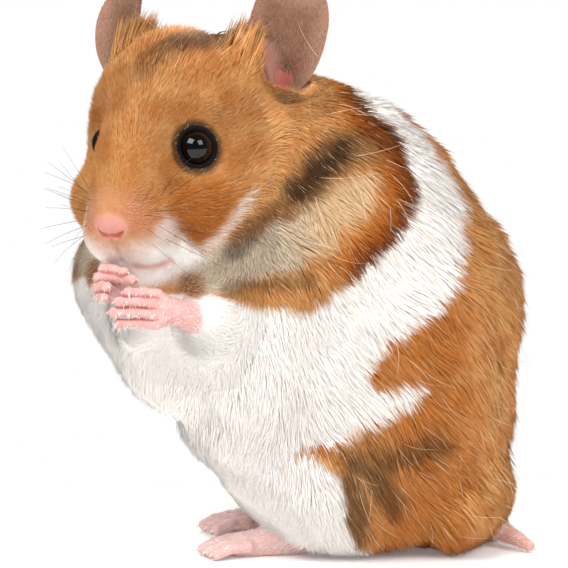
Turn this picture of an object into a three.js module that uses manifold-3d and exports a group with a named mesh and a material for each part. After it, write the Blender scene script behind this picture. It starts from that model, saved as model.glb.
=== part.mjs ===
// A Syrian hamster at life size, sitting up on its hind feet with its forepaws held together under
// its chin and its head turned to its left. Millimetres, +Z up. The hips face -Y and the animal's
// left is +X. The solids reach to the tips of the coat.
import * as THREE from "three";
import { mergeVertices } from "three/addons/utils/BufferGeometryUtils.js";
import Module from "manifold-3d";

const wasm = await Module();
wasm.setup();

// ---- driving dimensions -------------------------------------------------------------------------
const GAP = 0.3; // the thin cut between two neighbouring parts
const SIDES = { left: 1, right: -1 };

const HEAD_AT = [9.7, -25.2, 75.2]; // the head's own origin, on the bridge between the eyes
const HEAD_TURN = 58; // degrees to the animal's left
const HEAD_DIP = 18; // degrees that the nose points down
const EYE_AT = [8.4, 1.5, -1.3]; // in the head's frame
const EYE_RADIUS = 3.3;

const CHEST_AT = [6, -17, 48]; // the chest's own origin
const CHEST_TURN = 48;

const HIP_HALF = 8.8; // each foot from the middle plane
const TOES_AT = { left: -17, right: -15.5 }; // the front of each hind foot
const FOOT_LENGTH = 22;

const TAIL = [[4, 36, 4.2], [13, 43.5, 1.3]]; // lying towards the animal's left

const EAR_ROOT = [14.0, 21.7, 0]; // in the head's frame
const EAR_HEIGHT = 23;
const EAR_WIDTH = 13.8;
const EAR_THICK = 1.3;
const FINGERTIP = 1.2;

// The arms and hands, each posed on its own: joints from the shoulder to the finger tips.
const ARMS = {
  left: {
    shoulder: [16, -1, 49],
    elbow: [17.5, -7, 34],
    wrist: [22, -15.5, 45.5],
    palm: [24.5, -22, 47.5],
    fingers: [
      [[25, -24.5, 50.6], [24.9, -29.5, 51]],
      [[25.7, -25.2, 49.2], [25.6, -31, 49.5]],
      [[26, -25.4, 47.4], [25.7, -32, 47.7]],
      [[25.8, -24.8, 45.6], [25.5, -31, 45.7]],
    ],
  },
  right: {
    shoulder: [-6, -28, 48],
    elbow: [7.5, -21.3, 36],
    wrist: [13.5, -27, 46.5],
    palm: [17.5, -30.5, 51],
    fingers: [
      [[17.8, -33.3, 54], [21.4, -30, 54]],
      [[18.4, -34.2, 52.6], [22.6, -28.6, 52.9]],
      [[18.6, -34.4, 51], [22.4, -33, 51.6]],
      [[18.9, -34, 49.4], [22.6, -33.4, 49.8]],
    ],
  },
};

// ---- fields: signed distance in mm, negative inside ---------------------------------------------
const vec = (a) => new THREE.Vector3(...a);
const rad = THREE.MathUtils.degToRad;
const turned = (x, y, z) => new THREE.Matrix4().makeRotationFromEuler(new THREE.Euler(rad(x), rad(y), rad(z), "ZYX"));
const mirror = (side, [x, y, z]) => [side * x, y, z];

function ellipsoid(centre, radii, turn = [0, 0, 0]) {
  const back = turned(...turn).setPosition(vec(centre)).invert();
  const r = vec(radii);
  const r2 = r.clone().multiply(r);
  const q = new THREE.Vector3();
  return (p) => {
    q.copy(p).applyMatrix4(back);
    const near = Math.hypot(q.x / r.x, q.y / r.y, q.z / r.z);
    const slope = Math.hypot(q.x / r2.x, q.y / r2.y, q.z / r2.z);
    return near < 1e-6 ? -Math.min(...radii) : (near * (near - 1)) / slope;
  };
}

function limb(from, to, fromRadius, toRadius) {
  const a = vec(from);
  const along = vec(to).sub(a);
  const q = new THREE.Vector3();
  return (p) => {
    const t = THREE.MathUtils.clamp(q.copy(p).sub(a).dot(along) / along.lengthSq(), 0, 1);
    return q.copy(a).addScaledVector(along, t).distanceTo(p) - THREE.MathUtils.lerp(fromRadius, toRadius, t);
  };
}

// A soft union: neighbouring forms run into each other over about `softness` mm.
function blend(softness, ...fields) {
  return (p) =>
    fields
      .map((f) => f(p))
      .reduce((a, b) => {
        const h = Math.max(softness - Math.abs(a - b), 0) / softness;
        return Math.min(a, b) - (h * h * softness) / 4;
      });
}

// A soft cut: `field` without `cutter`.
function carve(softness, field, cutter) {
  return (p) => {
    const [a, b] = [field(p), -cutter(p)];
    const h = Math.max(softness - Math.abs(a - b), 0) / softness;
    return Math.max(a, b) + (h * h * softness) / 4;
  };
}

function within(frame, field) {
  const back = frame.clone().invert();
  const q = new THREE.Vector3();
  return (p) => field(q.copy(p).applyMatrix4(back).clone());
}

const pair = (centre, radii, turn = [0, 0, 0]) =>
  Object.values(SIDES).map((s) => ellipsoid(mirror(s, centre), radii, [turn[0], s * turn[1], s * turn[2]]));

// ---- the body's forms ---------------------------------------------------------------------------
const headFrame = turned(0, 0, HEAD_TURN).multiply(turned(HEAD_DIP, 0, 0)).setPosition(vec(HEAD_AT));
const chestFrame = turned(0, 0, CHEST_TURN).setPosition(vec(CHEST_AT));

const cranium = ellipsoid([0, 12.5, 1.8], [13.2, 15, 14.5]);
const brow = ellipsoid([0, -0.5, 2], [7.1, 11, 8.5]);
const earBeds = pair([9.3, 17, 2.5], [7.5, 9, 8]);
const snout = ellipsoid([0, -5, -4], [7.6, 10, 7]);
const muzzle = ellipsoid([0, -8, -11], [8.8, 7.8, 7.4]);
const nose = ellipsoid([0, -14, -9], [3, 2.8, 2.6]);
const cheeks = pair([9, 4.5, -11], [8, 12.5, 9.3], [0, 0, 10]);
const jowls = pair([9.5, 11, -4], [8, 8.5, 11]);
const chin = ellipsoid([0, -8, -17.5], [6.8, 6.5, 5]);
const head = within(headFrame, blend(5, cranium, brow, ...earBeds, snout, muzzle, nose, ...cheeks, ...jowls, chin));

const neck = ellipsoid([-2, -6, 65], [15, 16, 14]);
const nape = ellipsoid([0, 3, 70], [14, 14, 15.5]);
const withers = ellipsoid([0, 8, 63.5], [19.5, 23.5, 20.5]);
const chest = within(chestFrame, ellipsoid([0, 0, -3], [18, 15, 15]));
const shoulders = within(chestFrame, blend(6, ...pair([13.3, 1.5, 3.5], [11, 11, 11.5])));
const back = ellipsoid([0, 17, 43.5], [24.5, 27.5, 27.5]);
const belly = ellipsoid([2, -3.5, 29], [20, 18, 20]);
const rump = ellipsoid([0, 18.5, 24], [23, 24.5, 22]);
const seat = ellipsoid([2, 29.5, 8.5], [18.5, 12.5, 10]);
const lap = ellipsoid([6, 2, 13], [13, 12, 8.5]);
const trunk = blend(9, belly, rump, back, chest, shoulders, withers, neck, nape, seat, lap);
const sockets = blend(1, ...pair([EYE_AT[0] + 9.6, EYE_AT[1] - 1, EYE_AT[2] + 1], [7.6, 7.6, 7.6]));
const body = carve(2.5, blend(5, trunk, head), within(headFrame, sockets));

const haunch = (s) => ellipsoid(mirror(s, [13, 12, 14]), [10, 19, 15], [0, s * 14, 0]);
const tail = limb(...TAIL, 3.6, 1.5);

const arm = ({ shoulder, elbow, wrist }) => blend(3, limb(shoulder, elbow, 8, 6.3), limb(elbow, wrist, 6, 3.4));
const palm = ({ wrist, palm: middle, fingers }) =>
  blend(2, limb(wrist, middle, 2.6, 2.9), ...fingers.map(([knuckle]) => limb(middle, knuckle, 2.2, 1.4)));

// ---- solids -------------------------------------------------------------------------------------
const STEP = 0.8;

// Wraps a sphere on a field: each vertex travels out from the centre to the form's surface.
function wrap(field, centre, detail, grow = 0) {
  const g = new THREE.IcosahedronGeometry(1, detail);
  g.deleteAttribute("normal");
  g.deleteAttribute("uv");
  const sphere = mergeVertices(g, 1e-4);
  const at = sphere.getAttribute("position");
  const from = vec(centre);
  const ray = new THREE.Vector3();
  const p = new THREE.Vector3();
  const value = (d) => field(p.copy(from).addScaledVector(ray, d)) - grow;
  for (let i = 0; i < at.count; i++) {
    ray.fromBufferAttribute(at, i).normalize();
    let out = 0;
    while (value(out) < 0 && out < 200) out += STEP;
    let inside = out - STEP;
    for (let k = 0; k < 20; k++) {
      const middle = (inside + out) / 2;
      if (value(middle) < 0) inside = middle;
      else out = middle;
    }
    at.setXYZ(i, ...p.copy(from).addScaledVector(ray, out));
  }
  return sphere;
}

const toSolid = (g) =>
  new wasm.Manifold(
    new wasm.Mesh({
      numProp: 3,
      vertProperties: g.getAttribute("position").array,
      triVerts: new Uint32Array(g.index.array),
    }),
  );

function toGeometry(solid) {
  const { vertProperties, triVerts } = solid.getMesh();
  const g = new THREE.BufferGeometry();
  g.setAttribute("position", new THREE.BufferAttribute(vertProperties, 3));
  g.setIndex(new THREE.BufferAttribute(triVerts, 1));
  return g;
}

const bare = (g) => {
  g.deleteAttribute("normal");
  g.deleteAttribute("uv");
  return mergeVertices(g, 1e-4);
};

// Everything on the far side of a plane: `distance` along `normal` in the given frame.
function beyond(frame, normal, distance) {
  const side = 300;
  const slab = bare(new THREE.BoxGeometry(side, side, side));
  slab.translate(0, 0, side / 2 + distance);
  const aim = new THREE.Matrix4().makeRotationFromQuaternion(
    new THREE.Quaternion().setFromUnitVectors(new THREE.Vector3(0, 0, 1), vec(normal).normalize()),
  );
  return toSolid(slab.applyMatrix4(aim).applyMatrix4(frame));
}

const floor = beyond(new THREE.Matrix4(), [0, 0, -1], 0);

// A ball of the given radii, to part the head from the neck and the neck from the trunk.
const ball = (frame, centre, radii, grow = 0) =>
  toSolid(
    bare(new THREE.IcosahedronGeometry(1, 3))
      .scale(...radii.map((r) => r + grow))
      .translate(...centre)
      .applyMatrix4(frame),
  );
const headBall = (grow = 0) => ball(headFrame, [0, 5, -3], [26, 26, 27], grow);
const neckBall = (grow = 0) => ball(headFrame, [0, 8, -11], [32, 30, 31], grow);

// A cupped leaf: +Y of its own frame is the back of the ear and +Z runs up to its tip.
function ear(s) {
  const g = bare(new THREE.SphereGeometry(1, 12, 8));
  const at = g.getAttribute("position");
  const p = new THREE.Vector3();
  for (let i = 0; i < at.count; i++) {
    p.fromBufferAttribute(at, i);
    const up = 0.5 + 0.5 * p.y;
    const across = (p.x * EAR_WIDTH * (0.93 + 0.32 * up - 0.27 * up * up)) / 2;
    const cup = 0.055 * across * across + 1.5 * Math.sin(Math.PI * up);
    at.setXYZ(i, across, (-p.z * EAR_THICK) / 2 - cup, EAR_HEIGHT * up);
  }
  const up = vec(mirror(s, [0.1, 0.58, 0.81])).normalize();
  const rear = vec(mirror(s, [-0.5, 0.72, -0.45]));
  rear.addScaledVector(up, -rear.dot(up)).normalize();
  const across = new THREE.Vector3().crossVectors(rear, up);
  const frame = new THREE.Matrix4().makeBasis(across, rear, up).setPosition(vec(mirror(s, EAR_ROOT)));
  return toSolid(g.applyMatrix4(frame).applyMatrix4(headFrame));
}

// The biggest body that a cut leaves: the slivers beside it are thinner than the coat.
const whole = (solid) => solid.decompose().sort((a, b) => b.volume() - a.volume())[0];

const middleOf = (a, b) => vec(a).lerp(vec(b), 0.5).toArray();
const solidOf = (field, centre, detail, grow = 0) => toSolid(wrap(field, centre, detail, grow));
const minus = (solid, ...cuts) => cuts.reduce((rest, cut) => rest.subtract(cut), solid);

const toes = (side) =>
  [-2, -1, 0, 1, 2].map((i) => {
    const x = (spread) => SIDES[side] * (HIP_HALF + spread * i);
    const front = TOES_AT[side] + Math.abs(i) * 1.1;
    return [[x(1.25), front + 7, 2.1], [x(2), front + 1.4, 1.3]];
  });
const digit = ([knuckle, tip], radius, grow) => solidOf(limb(knuckle, tip, radius, radius * 0.8), middleOf(knuckle, tip), 1, grow);

function sole(side, grow = 0) {
  const ball = [SIDES[side] * HIP_HALF, TOES_AT[side] + 8, 1.7];
  const heel = [SIDES[side] * HIP_HALF, TOES_AT[side] + FOOT_LENGTH - 3.5, 2.6];
  return solidOf(limb(ball, heel, 2.7, 3.1), middleOf(ball, heel), 2, grow);
}
const foot = (side) => toes(side).reduce((solid, toe) => solid.add(digit(toe, 1.6, 0)), sole(side)).subtract(floor);

function hand(side, grow = 0) {
  const { palm: middle, fingers } = ARMS[side];
  return fingers.reduce((solid, f) => solid.add(digit(f, 1.4, grow)), solidOf(palm(ARMS[side]), middle, 2, grow));
}

function claw([knuckle, tip], radius, length, droop) {
  const along = vec(tip).sub(vec(knuckle)).normalize();
  const out = along.clone().add(new THREE.Vector3(0, 0, -droop)).normalize();
  const g = bare(new THREE.ConeGeometry(radius, length, 6));
  g.translate(0, length / 2, 0);
  g.applyQuaternion(new THREE.Quaternion().setFromUnitVectors(new THREE.Vector3(0, 1, 0), out));
  return g.translate(...vec(tip).addScaledVector(along, FINGERTIP + GAP + radius * droop));
}

const inHead = (p) => vec(p).applyMatrix4(headFrame).toArray();
const eyeball = (s, grow = 0) =>
  toSolid(bare(new THREE.IcosahedronGeometry(EYE_RADIUS + grow, 2)).translate(...mirror(s, EYE_AT)).applyMatrix4(headFrame));
const headMass = (grow = 0) => solidOf(body, inHead([0, 3, -5]), 6, grow);
const neckMass = (grow = 0) => solidOf(body, [-2, -6, 65], 4, grow);
const haunchMass = (s, grow = 0) => solidOf(haunch(s), mirror(s, [13, 12, 14]), 3, grow);
const armMass = (side, grow = 0) => solidOf(arm(ARMS[side]), middleOf(ARMS[side].shoulder, ARMS[side].elbow), 3, grow);
const tailMass = (grow = 0) => solidOf(tail, middleOf(...TAIL), 1, grow);

// ---- the parts ----------------------------------------------------------------------------------
const ORANGE = 0xc98443;
const WHITE = 0xf2ede8;
const PINK = 0xe9aeaa;
const root = new THREE.Group();
function add(name, geometry, color, roughness = 0.85) {
  const mesh = new THREE.Mesh(geometry, new THREE.MeshStandardMaterial({ color, roughness }));
  mesh.name = name;
  root.add(mesh);
}
const addSolid = (name, solid, color, roughness) => add(name, toGeometry(whole(solid)), color, roughness);

const sides = Object.keys(SIDES);
const arms = sides.flatMap((side) => [armMass(side, GAP), hand(side, GAP)]);
const eyes = sides.map((side) => eyeball(SIDES[side], GAP));
const haunches = sides.flatMap((side) => [haunchMass(SIDES[side], GAP), sole(side, GAP)]);
addSolid("head", minus(headMass().intersect(headBall()), ...arms, ...eyes), ORANGE);
addSolid("neck", minus(neckMass().intersect(neckBall()), headBall(GAP), ...arms), ORANGE);
addSolid("trunk", minus(solidOf(body, [0, 12, 42], 6), neckBall(GAP), floor, tailMass(GAP), ...arms, ...haunches), ORANGE);
addSolid("tail", minus(tailMass(), floor), PINK);
for (const [side, s] of Object.entries(SIDES)) {
  const others = s < 0 ? [hand("left", GAP), armMass("left", GAP)] : [];
  addSolid(side + "_eye", eyeball(s), 0x0a0908, 0.1);
  addSolid(side + "_ear", minus(ear(s), headMass(GAP), neckMass(GAP)), 0xa98a7c);
  addSolid(side + "_arm", minus(armMass(side), hand(side, GAP), ...others), WHITE);
  addSolid(side + "_forepaw", minus(hand(side), ...others), PINK);
  addSolid(side + "_haunch", minus(haunchMass(s), sole(side, GAP), floor), ORANGE);
  addSolid(side + "_hind_foot", foot(side), PINK);
  ARMS[side].fingers.forEach((f, i) => add(`${side}_fore_claw_${i + 1}`, claw(f, 0.4, 1.5, 0.1), 0xe6cfc0, 0.5));
  toes(side).forEach((t, i) => add(`${side}_hind_claw_${i + 1}`, claw(t, 0.45, 1.7, 0.15), 0xe6cfc0, 0.5));
}

// The origin goes to the middle of the footprint, on the floor.
const size = new THREE.Box3().setFromObject(root);
const middle = size.getCenter(new THREE.Vector3());
root.position.set(-middle.x, -middle.y, -size.min.z);
export default root;
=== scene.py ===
"""A Syrian hamster at life size, sitting up with its forepaws together and its head turned to its left.

The skin is one mesh, wrapped on a soft field of simple forms. Over it lies a coat of solid tufts that
follow the lie of the hair, and both carry the same markings. Forms are in millimetres in the maker's own
frame, where the hips face -Y, the animal's left is +X and the floor is z = 0.
"""
import math

import bpy
import numpy as np
from bpy.props import FloatProperty, FloatVectorProperty, PointerProperty
from bpy.types import Operator, Panel, PropertyGroup
from mathutils import Matrix, Vector


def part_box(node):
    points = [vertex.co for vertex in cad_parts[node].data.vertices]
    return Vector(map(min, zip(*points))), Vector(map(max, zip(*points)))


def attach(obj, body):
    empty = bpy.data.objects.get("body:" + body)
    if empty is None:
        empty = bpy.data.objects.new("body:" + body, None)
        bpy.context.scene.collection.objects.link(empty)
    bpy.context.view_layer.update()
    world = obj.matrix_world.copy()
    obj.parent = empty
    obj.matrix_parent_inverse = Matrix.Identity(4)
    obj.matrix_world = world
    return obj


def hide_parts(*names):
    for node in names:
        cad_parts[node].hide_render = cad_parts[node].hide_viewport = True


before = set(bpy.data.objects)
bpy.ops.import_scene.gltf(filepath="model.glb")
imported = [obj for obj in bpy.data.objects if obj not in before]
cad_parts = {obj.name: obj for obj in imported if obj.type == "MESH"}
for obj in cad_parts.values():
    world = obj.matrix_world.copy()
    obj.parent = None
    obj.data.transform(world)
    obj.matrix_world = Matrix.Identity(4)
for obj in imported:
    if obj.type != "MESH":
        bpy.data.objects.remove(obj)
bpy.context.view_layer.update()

bl_info = {
    "name": "Sitting hamster",
    "version": (1, 0, 0),
    "blender": (4, 5, 0),
    "location": "3D View > Sidebar > Hamster",
    "description": "Builds a life-size sitting hamster with a coat of solid tufts",
    "category": "Add Mesh",
}

MM = 0.001
LEFT, RIGHT = 1, -1
SIDES = {"left": LEFT, "right": RIGHT}


# ---- small helpers ------------------------------------------------------------------------------


def turn(x=0, y=0, z=0):
    """A rotation in degrees, about X, then Y, then Z, as a 3x3 array."""
    about = [Matrix.Rotation(math.radians(a), 3, n) for a, n in ((x, "X"), (y, "Y"), (z, "Z"))]
    return np.array(about[2] @ about[1] @ about[0], np.float32)


def towards(turned, height):
    """The way from the animal to a place that is turned from its back, and raised, by these angles."""
    level = math.cos(height)
    return (level * math.sin(turned), -level * math.cos(turned), math.sin(height))


def unit(v):
    """Vectors made one long, along the last axis."""
    v = np.asarray(v, np.float32)
    return v / np.maximum(np.linalg.norm(v, axis=-1, keepdims=True), 1e-9)


def ramp(x, low, high):
    """0 below low, 1 above high, and a smooth step between them."""
    t = np.clip((x - low) / (high - low), 0, 1)
    return t * t * (3 - 2 * t)


def mix(a, b, t):
    """a where t is 0 and b where it is 1."""
    return a + (b - a) * t


def distance(p, centre):
    """How far points are from a place."""
    return np.linalg.norm(p - np.array(centre, np.float32), axis=1)


def flipped(point, side):
    """A place on the left side, taken to the given side."""
    return (side * point[0], point[1], point[2])


def left_half(q):
    """Points with those of the right half taken across to the left."""
    half = q.copy()
    half[:, 0] = np.abs(half[:, 0])
    return half


def ripple(p, wavelength, seed, waves=7):
    """Smooth noise between about -1 and 1: plane waves of about one wavelength in many directions."""
    rng = np.random.default_rng(seed)
    total = np.zeros(len(p), np.float32)
    for _ in range(waves):
        along = unit(rng.normal(size=3)) * (2 * math.pi / wavelength) * rng.uniform(0.6, 1.5)
        total += np.sin(p @ along.astype(np.float32) + rng.uniform(0, 2 * math.pi))
    return total / math.sqrt(waves)


# ---- fields: about the distance to a surface in mm, negative inside -------------------------------


def ellipsoid(centre, radii, turned=(0, 0, 0)):
    """An ellipsoid, turned by degrees about X, Y and Z."""
    c, r, m = np.array(centre, np.float32), np.array(radii, np.float32), turn(*turned)

    def field(p):
        q = (p - c) @ m / r
        near = np.linalg.norm(q, axis=1)
        slope = np.linalg.norm(q / r, axis=1)
        return near * (near - 1) / np.maximum(slope, 1e-6)

    return field


def limb(start, end, start_radius, end_radius):
    """A round limb that tapers from one end to the other."""
    a, along = np.array(start, np.float32), np.subtract(end, start).astype(np.float32)

    def field(p):
        t = np.clip((p - a) @ along / (along @ along), 0, 1)
        return np.linalg.norm(p - a - t[:, None] * along, axis=1) - mix(start_radius, end_radius, t)

    return field


def soft_min(a, b, softness):
    """The smaller of two fields, with the crease between them filled over about `softness` mm."""
    h = np.maximum(softness - np.abs(a - b), 0) / softness
    return np.minimum(a, b) - h * h * softness / 4


def blend(softness, *fields):
    """Several forms that run into each other."""

    def field(p):
        total = fields[0](p)
        for other in fields[1:]:
            total = soft_min(total, other(p), softness)
        return total

    return field


FAR = 6  # what a small form counts as just outside its reach, in mm


def near_only(centre, reach, field):
    """A small form, worked out only within `reach` of its centre: beyond, it just counts as far."""

    def local(p):
        away = distance(p, centre)
        total = FAR + np.maximum(away - reach, 0)
        close = away < reach
        if close.any():
            total[close] = field(p[close])
        return total

    return local


class Place:
    """A frame of its own for a part of the body: an origin and a turn."""

    def __init__(self, origin, rotation):
        self.origin = np.array(origin, np.float32)
        self.rotation = np.array(rotation, np.float32)

    def inwards(self, p):
        """Points of the body's frame, in this one."""
        return (p - self.origin) @ self.rotation

    def outwards(self, q):
        """Points of this frame, in the body's."""
        return np.asarray(q, np.float32) @ self.rotation.T + self.origin

    def field(self, form, both_sides=False):
        """A form that is given in this frame, as a field of the body's."""

        def field(p):
            q = self.inwards(p)
            return form(left_half(q) if both_sides else q)

        return field


# ---- the animal's sizes, in mm: the same forms as the solids ---------------------------------------

HEAD = Place((9.7, -25.2, 75.2), turn(z=58) @ turn(x=18))
CHEST = Place((6, -17, 48), turn(z=48))
EYE_AT = (8.4, 1.5, -1.3)  # in the head's frame, as the next ones are
EYE_RADIUS = 3.3
GAZE = tuple(unit((0.76, -0.5, 0.42)))
LID_OPENING = 70  # half the angle that the lids leave open, in degrees
LID_DEPTH = 0.45
NOSE_TIP = (0, -16.6, -9.0)
EAR_ROOT = (14.0, 21.7, 0)
EAR_HEIGHT = 23
EAR_WIDTH = 13.8

HIP_HALF = 8.8
TOES_AT = {"left": -17, "right": -15.5}
FOOT_LENGTH = 22
TAIL = ((4, 36, 4.2), (13, 43.5, 1.3))

ARMS = {
    "left": dict(
        shoulder=(16, -1, 49),
        elbow=(17.5, -7, 34),
        wrist=(22, -15.5, 45.5),
        palm=(24.5, -22, 47.5),
        fingers=(
            ((25, -24.5, 50.6), (24.9, -29.5, 51)),
            ((25.7, -25.2, 49.2), (25.6, -31, 49.5)),
            ((26, -25.4, 47.4), (25.7, -32, 47.7)),
            ((25.8, -24.8, 45.6), (25.5, -31, 45.7)),
        ),
    ),
    "right": dict(
        shoulder=(-6, -28, 48),
        elbow=(7.5, -21.3, 36),
        wrist=(13.5, -27, 46.5),
        palm=(17.5, -30.5, 51),
        fingers=(
            ((17.8, -33.3, 54), (21.4, -30, 54)),
            ((18.4, -34.2, 52.6), (22.6, -28.6, 52.9)),
            ((18.6, -34.4, 51), (22.4, -33, 51.6)),
            ((18.9, -34, 49.4), (22.6, -33.4, 49.8)),
        ),
    ),
}


def ear_place(side):
    """The ear's frame, in the head's: X towards its outer edge, Y to its back and Z up to its tip."""
    up = unit(flipped((0.1, 0.58, 0.81), side))
    rear = np.array(flipped((-0.5, 0.72, -0.45), side), np.float32)
    rear = unit(rear - up * (rear @ up))
    outer = side * np.cross(rear, up)
    return Place(flipped(EAR_ROOT, side), np.stack([outer, rear, up], 1))


def toes(side):
    """Each toe of a hind foot, as its knuckle and its tip."""
    places = []
    for i in range(-2, 3):
        x = [SIDES[side] * (HIP_HALF + spread * i) for spread in (1.25, 2)]
        front = TOES_AT[side] + abs(i) * 1.1
        places.append(((x[0], front + 7, 2.1), (x[1], front + 1.4, 1.3)))
    return places


def head_form():
    """The coat's outer form on the head. It is given for the left half and holds for both."""
    cranium = ellipsoid((0, 12.5, 1.8), (13.2, 15, 14.5))
    brow = ellipsoid((0, -0.5, 2), (7.1, 11, 8.5))
    ear_bed = ellipsoid((9.3, 17, 2.5), (7.5, 9, 8))
    snout = ellipsoid((0, -5, -4), (7.6, 10, 7))
    muzzle = ellipsoid((0, -8, -11), (8.8, 7.8, 7.4))
    nose = ellipsoid((0, -14, -9), (3, 2.8, 2.6))
    cheek = ellipsoid((9, 4.5, -11), (8, 12.5, 9.3), (0, 0, 10))
    jowl = ellipsoid((9.5, 11, -4), (8, 8.5, 11))
    chin = ellipsoid((0, -8, -17.5), (6.8, 6.5, 5))
    return blend(5, cranium, brow, ear_bed, snout, muzzle, nose, cheek, jowl, chin)


def trunk_form():
    """The coat's outer form on the trunk and neck."""
    belly = ellipsoid((2, -3.5, 29), (20, 18, 20))
    rump = ellipsoid((0, 18.5, 24), (23, 24.5, 22))
    back = ellipsoid((0, 17, 43.5), (24.5, 27.5, 27.5))
    chest = CHEST.field(ellipsoid((0, 0, -3), (18, 15, 15)))
    shoulders = CHEST.field(ellipsoid((13.3, 1.5, 3.5), (11, 11, 11.5)), both_sides=True)
    withers = ellipsoid((0, 8, 63.5), (19.5, 23.5, 20.5))
    neck = ellipsoid((-2, -6, 65), (15, 16, 14))
    nape = ellipsoid((0, 3, 70), (14, 14, 15.5))
    seat = ellipsoid((2, 29.5, 8.5), (18.5, 12.5, 10))
    lap = ellipsoid((6, 2, 13), (13, 12, 8.5))
    return blend(9, belly, rump, back, chest, shoulders, withers, neck, nape, seat, lap)


def furred_form():
    """The coat's outer form on everything that has a full coat."""
    trunk, legs, arms = trunk_form(), [], []
    for side, s in SIDES.items():
        pose = ARMS[side]
        legs.append(ellipsoid(flipped((13, 12, 14), s), (10, 19, 15), (0, s * 14, 0)))
        arms.append(limb(pose["shoulder"], pose["elbow"], 7.5, 5.5))
        arms.append(limb(pose["elbow"], pose["wrist"], 5.5, 3.3))
    return blend(3, blend(5, blend(9, trunk, *arms), HEAD.field(head_form(), both_sides=True)), *legs)


FULL_DEPTH = 3.6  # how far the skin lies below the tips of the thickest coat


def coat_depth(p):
    """How far the skin lies below the tips of the coat."""
    depth = np.full(len(p), FULL_DEPTH, np.float32)

    def thin_out(centre, least, growth, free=0.0):
        """Thins the coat to `least` round a place, growing again by `growth` for each mm past `free`."""
        beyond = np.maximum(distance(p, centre) - free, 0)
        depth[:] = soft_min(depth, least + growth * beyond, 0.5)

    thin_out(HEAD.outwards(NOSE_TIP), 0.2, 0.06, 5)
    for side, s in SIDES.items():
        thin_out(ARMS[side]["wrist"], 0.4, 0.17)
        thin_out((s * HIP_HALF, TOES_AT[side] + 14, 3), 0.5, 0.2, 4)
        thin_out(HEAD.outwards(flipped(EYE_AT, s)), 0.5, 0.12, 3)
        thin_out(HEAD.outwards(flipped(EAR_ROOT, s)), 0.8, 0.2, 3)
    thin_out(TAIL[0], 0.8, 0.2, 2)
    return depth


# ---- the skin --------------------------------------------------------------------------------------


def lid_form():
    """The rims of the eye: a shell over the eyeball, open along the gaze."""
    at, gaze = np.array(EYE_AT, np.float32), np.array(GAZE, np.float32)
    half_open = math.cos(math.radians(LID_OPENING))

    def field(q):
        out = q - at
        away = np.maximum(np.linalg.norm(out, axis=1), 1e-6)
        shell = away - (EYE_RADIUS + LID_DEPTH)
        opening = (out @ gaze / away - half_open) * EYE_RADIUS
        return -soft_min(-shell, -opening, 0.3)

    return near_only(EYE_AT, 6, field)


def carved(total, cut, softness):
    """A field with a form cut out of it."""
    return -soft_min(-total, cut, softness)


NOSTRIL = blend(
    0.3,
    limb((0.5, -17.5, -9.9), (1.6, -17.1, -9.9), 0.15, 0.2),
    limb((1.6, -17.1, -9.9), (2.6, -16.0, -8.7), 0.2, 0.15),
)
MOUTH_CORNER = (4.2, -11.4, -17.6)


def face_skin():
    """What adds the eye's rims, nose, lips and chin to the head's field, in the head's frame."""
    socket = ellipsoid(np.add(EYE_AT, np.multiply(GAZE, 11.5)), (11, 11, 11))
    cleft = limb((0, -17.2, -10.6), (0, -15.2, -15.8), 0.2, 0.35)
    mouth = blend(
        0.3,
        limb((0, -13.9, -17.2), MOUTH_CORNER, 0.3, 0.4),
        limb(MOUTH_CORNER, (7.6, -7.2, -16.6), 0.4, 0.25),
    )
    added = (
        (lid_form(), 0.8),
        (ellipsoid((3.7, -11.4, -12.6), (4.3, 4.6, 4.8)), 1.6),  # the whisker pads
        (ellipsoid((0, -15.2, -8.7), (2.5, 2.1, 1.8)), 1.0),  # the nose
        (ellipsoid((0, -9.6, -19.2), (4.6, 4.0, 2.2)), 1.2),  # the lower lip
    )

    def finished(total, q):
        total = carved(total, socket(q), 2.5)
        for form, softness in added:
            total = soft_min(total, form(q), softness)
        for cut, softness in ((NOSTRIL, 0.5), (cleft, 0.7), (mouth, 0.6)):
            total = carved(total, cut(q), softness)
        return total

    return finished


EAR_THICK = 0.9
EAR_CUP = 0.055  # how fast the leaf curls round to the rear at its edges, a mm
EAR_SWEEP = 1.5  # how far its middle lies to the front
EAR_RIDGE = np.array(((-3.4, 7.0), (-0.4, 2.0)), np.float32)  # the fold inside the ear, across and up
EAR_HOLLOW = np.array(((1.7, 5.5), (1.2, 1.5)), np.float32)  # the hollow beside it


def leaf_middle(ear):
    """Where the middle of the leaf's thickness lies along Y, for points in the ear's frame."""
    return -EAR_CUP * ear[:, 0] ** 2 - EAR_SWEEP * np.sin(math.pi * ear[:, 2] / EAR_HEIGHT)


def ear_foot():
    """The mound that the ear stands on, in the ear's frame."""
    return near_only((0, 0, 1), 12, ellipsoid((0, -0.4, 0.5), (6.2, 2.6, 4.6)))


def ear_notch():
    """The dip in front of the ear, in the ear's frame."""
    return ellipsoid((2.2, -6.0, 3.2), (5.8, 4.5, 5.4))


def ring_faces(rings, around):
    """The triangles of a stack of rings, whose two ends are closed by the two points that follow them."""
    faces = []
    for i in range(rings - 1):
        for k in range(around):
            a, b = i * around + k, i * around + (k + 1) % around
            faces += [(a, b, b + around), (a, b + around, a + around)]
    start, end, last = rings * around, rings * around + 1, (rings - 1) * around
    for k in range(around):
        faces.append((start, (k + 1) % around, k))
        faces.append((end, last + k, last + (k + 1) % around))
    return np.array(faces)


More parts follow.
